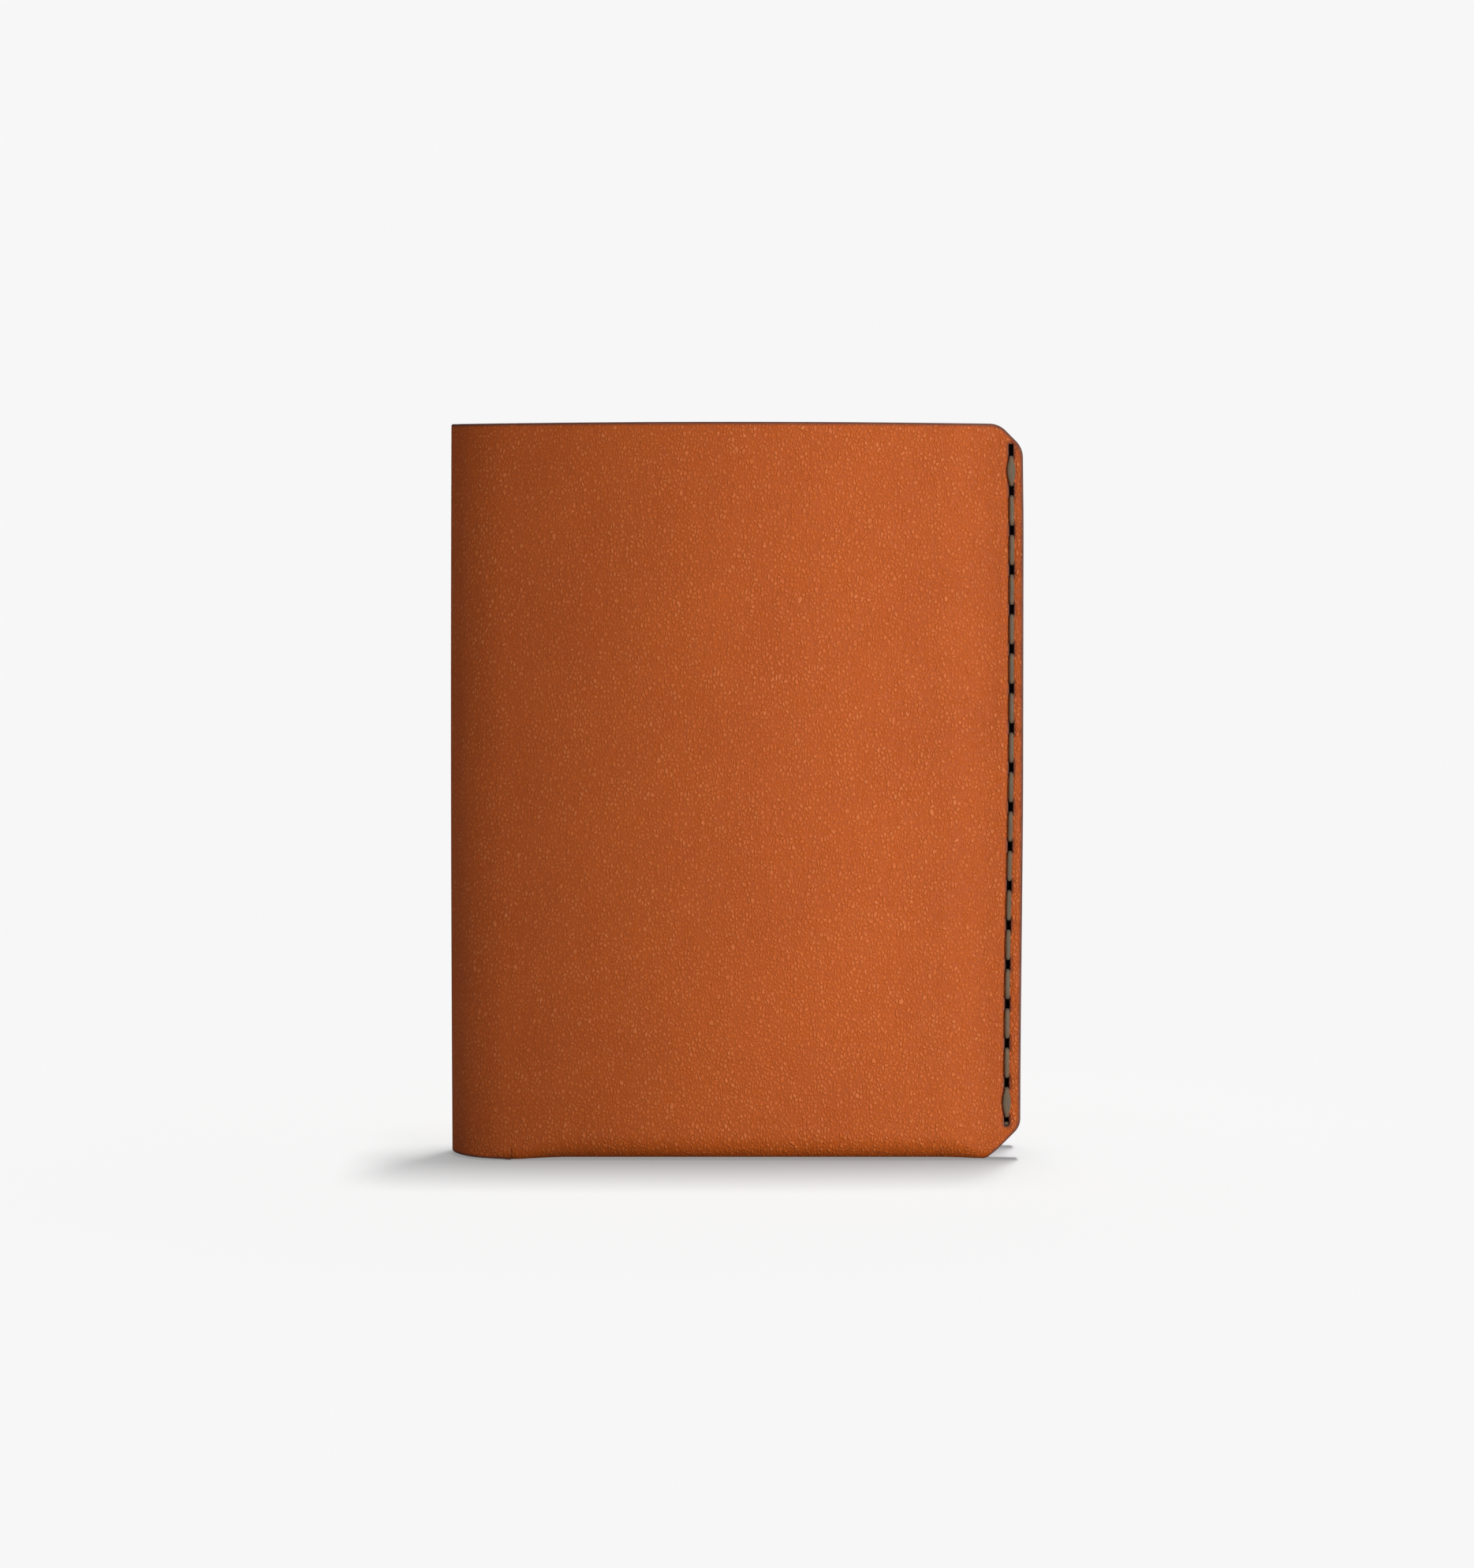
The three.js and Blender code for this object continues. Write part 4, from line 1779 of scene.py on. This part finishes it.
@dataclass
class Studio:
    """A pale seamless floor, an even pale surround, and soft lamps for the floor and holder."""

    sizes: HolderSizes
    pale: float = 0.930
    ambient: float = 0.28
    floor_tone: float = 0.20
    floor_bounce: float = 0.44
    shade_fill: float = 0.28
    floor_reach: float = 6.0
    lit_reach: float = 0.06
    pale_reach: float = 0.12
    overhead_height: float = 2.0

    def surround(self) -> None:
        """Makes the pale surround, which gives the holder only a little light of its own."""
        world = bpy.data.worlds.new("pale_surround")
        bpy.context.scene.world = world
        world.use_nodes = True
        world.node_tree.nodes.clear()
        world.cycles_visibility.glossy = False
        board = Board(world.node_tree)
        seen = board.add("ShaderNodeBackground", {"Color": (self.pale,) * 3 + (1,), "Strength": 1.0})
        lit = board.add("ShaderNodeBackground", {"Color": (1, 1, 1, 1), "Strength": self.ambient})
        straight = board.add("ShaderNodeLightPath").outputs["Is Camera Ray"]
        mixed = board.add("ShaderNodeMixShader", {0: straight, 1: lit.outputs[0], 2: seen.outputs[0]})
        board.add("ShaderNodeOutputWorld", {"Surface": mixed.outputs[0]})

    def floor(self) -> bpy.types.Object:
        """Makes the floor, lit by its lamps near the holder and evenly pale further off.

        Returns:
            The floor.
        """
        mesh = bpy.data.meshes.new("studio_floor")
        reach = self.floor_reach
        corners = [(-reach, -reach, 0), (reach, -reach, 0), (reach, reach, 0), (-reach, reach, 0)]
        mesh.from_pydata(corners, [], [(0, 1, 2, 3)])
        floor = bpy.data.objects.new("studio_floor", mesh)
        bpy.context.scene.collection.objects.link(floor)
        material = bpy.data.materials.new("pale_floor")
        material.use_nodes = True
        board = Board(material.node_tree)
        material.node_tree.nodes.clear()
        straight = board.add("ShaderNodeLightPath").outputs["Is Camera Ray"]
        level = board.ramp(straight, 0.0, 1.0, self.floor_bounce, 1.0)
        tone = board.maths("MULTIPLY", level, self.floor_tone)
        diffuse = board.add("ShaderNodeBsdfDiffuse", {"Color": tone})
        soft_light = board.maths("MULTIPLY", level, self.shade_fill)
        fill = board.add("ShaderNodeEmission", {"Color": (1, 1, 1, 1), "Strength": soft_light})
        paper = board.add("ShaderNodeAddShader", {0: diffuse.outputs[0], 1: fill.outputs[0]})
        glow = board.maths("MULTIPLY", level, self.pale)
        even = board.add("ShaderNodeEmission", {"Color": (1, 1, 1, 1), "Strength": glow})
        place = board.add("ShaderNodeTexCoord").outputs["Object"]
        away = board.add("ShaderNodeVectorMath", {0: place}, operation="LENGTH").outputs["Value"]
        share = board.ramp(away, self.lit_reach, self.pale_reach)
        mixed = board.add("ShaderNodeMixShader", {0: share, 1: paper.outputs[0], 2: even.outputs[0]})
        board.add("ShaderNodeOutputMaterial", {"Surface": mixed.outputs[0]})
        mesh.materials.append(material)
        floor.visible_glossy = False
        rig.stage(floor)
        return floor

    def overhead(self) -> list[Softbox]:
        """The long lamps over the floor, which give the holder its ground shadow.

        Returns:
            The lamps.
        """
        high = self.overhead_height
        spots = {
            "rear_right": ((0.182, 0.26), (0.14, 0.52, 92.0)),
            "front_right": ((0.182, -0.22), (0.14, 0.40, 10.0)),
            "left": ((-0.018, 0.165), (0.22, 0.75, 22.4)),
        }
        return [
            Softbox(f"overhead_{name}", (*spot, high), (*spot, 0.0), *shape)
            for name, (spot, shape) in spots.items()
        ]

    def softboxes(self) -> list[Softbox]:
        """The lamps on the holder: two narrow keys to the right, and a broad one behind.

        Returns:
            The lamps.
        """
        s = self.sizes
        middle = (0.0, -s.depth, s.height / 2)
        behind = (0.0, s.depth, s.height / 2)
        right = (0.65 * s.seam_x, -s.depth, 0.55 * s.height)
        return [
            Softbox("seam_key", (0.33, -0.48, 0.14), right, 0.05, 0.30, 0.040, 10.0),
            Softbox("middle_key", (0.36, -0.45, 0.14), middle, 0.05, 0.30, 0.011, 10.0, glossy=False),
            Softbox("back_key", (0.02, 0.5, 0.25), behind, 0.4, 0.4, 2.0),
        ]

    def build(self) -> None:
        """Makes the whole studio."""
        self.surround()
        floor = self.floor()
        groups = {}
        for name, members in (("the_floor", [floor]), ("the_holder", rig.pieces())):
            groups[name] = bpy.data.collections.new(name)
            bpy.context.scene.collection.children.link(groups[name])
            for member in members:
                groups[name].objects.link(member)
        for lamp in self.overhead():
            lamp.hang(groups["the_floor"])
        for softbox in self.softboxes():
            softbox.hang(groups["the_holder"])


@dataclass(frozen=True)
class ProductCamera:
    """A long lens at the height of the holder's top edge, tipped and shifted down a little."""

    sizes: HolderSizes
    distance: float = 0.62
    lens: float = 113.1
    sensor: float = 36.0
    aside: float = 0.11 * MM
    pitch: float = 1.5
    top_edge_up: float = 0.2295

    def build(self) -> bpy.types.Object:
        """Makes the camera.

        Returns:
            The camera, set as the scene's.
        """
        s = self.sizes
        camera = bpy.data.cameras.new("product_camera")
        camera.sensor_width = self.sensor
        camera.lens = self.lens
        pitch = math.radians(self.pitch)
        camera.shift_y = math.tan(pitch) * self.lens / self.sensor - self.top_edge_up
        made = bpy.data.objects.new("product_camera", camera)
        made.location = (self.aside, -s.depth - self.distance, s.height)
        made.rotation_euler = (math.pi / 2 - pitch, 0.0, 0.0)
        bpy.context.scene.collection.objects.link(made)
        bpy.context.scene.camera = made
        return made


# ------------------------------------------------------------------ the whole holder


def write_sizes(cad: tuple[Vector, Vector]) -> None:
    """Writes the CAD box and the visual model's box."""
    with open(SIZE_FILE, "w") as file:
        boxes = {"cad": [list(c) for c in cad], "visual": [list(c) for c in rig.bounds()]}
        json.dump(boxes, file)


def main() -> None:
    """Builds the card holder and its studio."""
    logging.basicConfig(level=logging.INFO, format="%(name)s: %(message)s")
    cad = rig.bounds()
    sizes = HolderSizes.from_frame()
    bpy.context.scene.view_settings.view_transform = "Standard"
    ProductCamera(sizes).build()
    effects = Effects.make()
    leather = [finish.material(effects) for finish in (GrainSide(), FleshSide(), BurnishedEdge())]
    waxed = WaxedThread().material(effects)
    soft = SoftShape(sizes)
    fold = LeatherFold(sizes, soft)
    spine = SpineLeather(sizes, soft, leather)
    spine.build()
    for side in Side:
        CoverLeather(sizes, fold, side, leather).build(spine.rows)
        for face in Face:
            SeamThread(sizes, fold, side, face, waxed).build()
    Studio(sizes).build()
    write_sizes(cad)


if __name__ == "__main__":
    main()
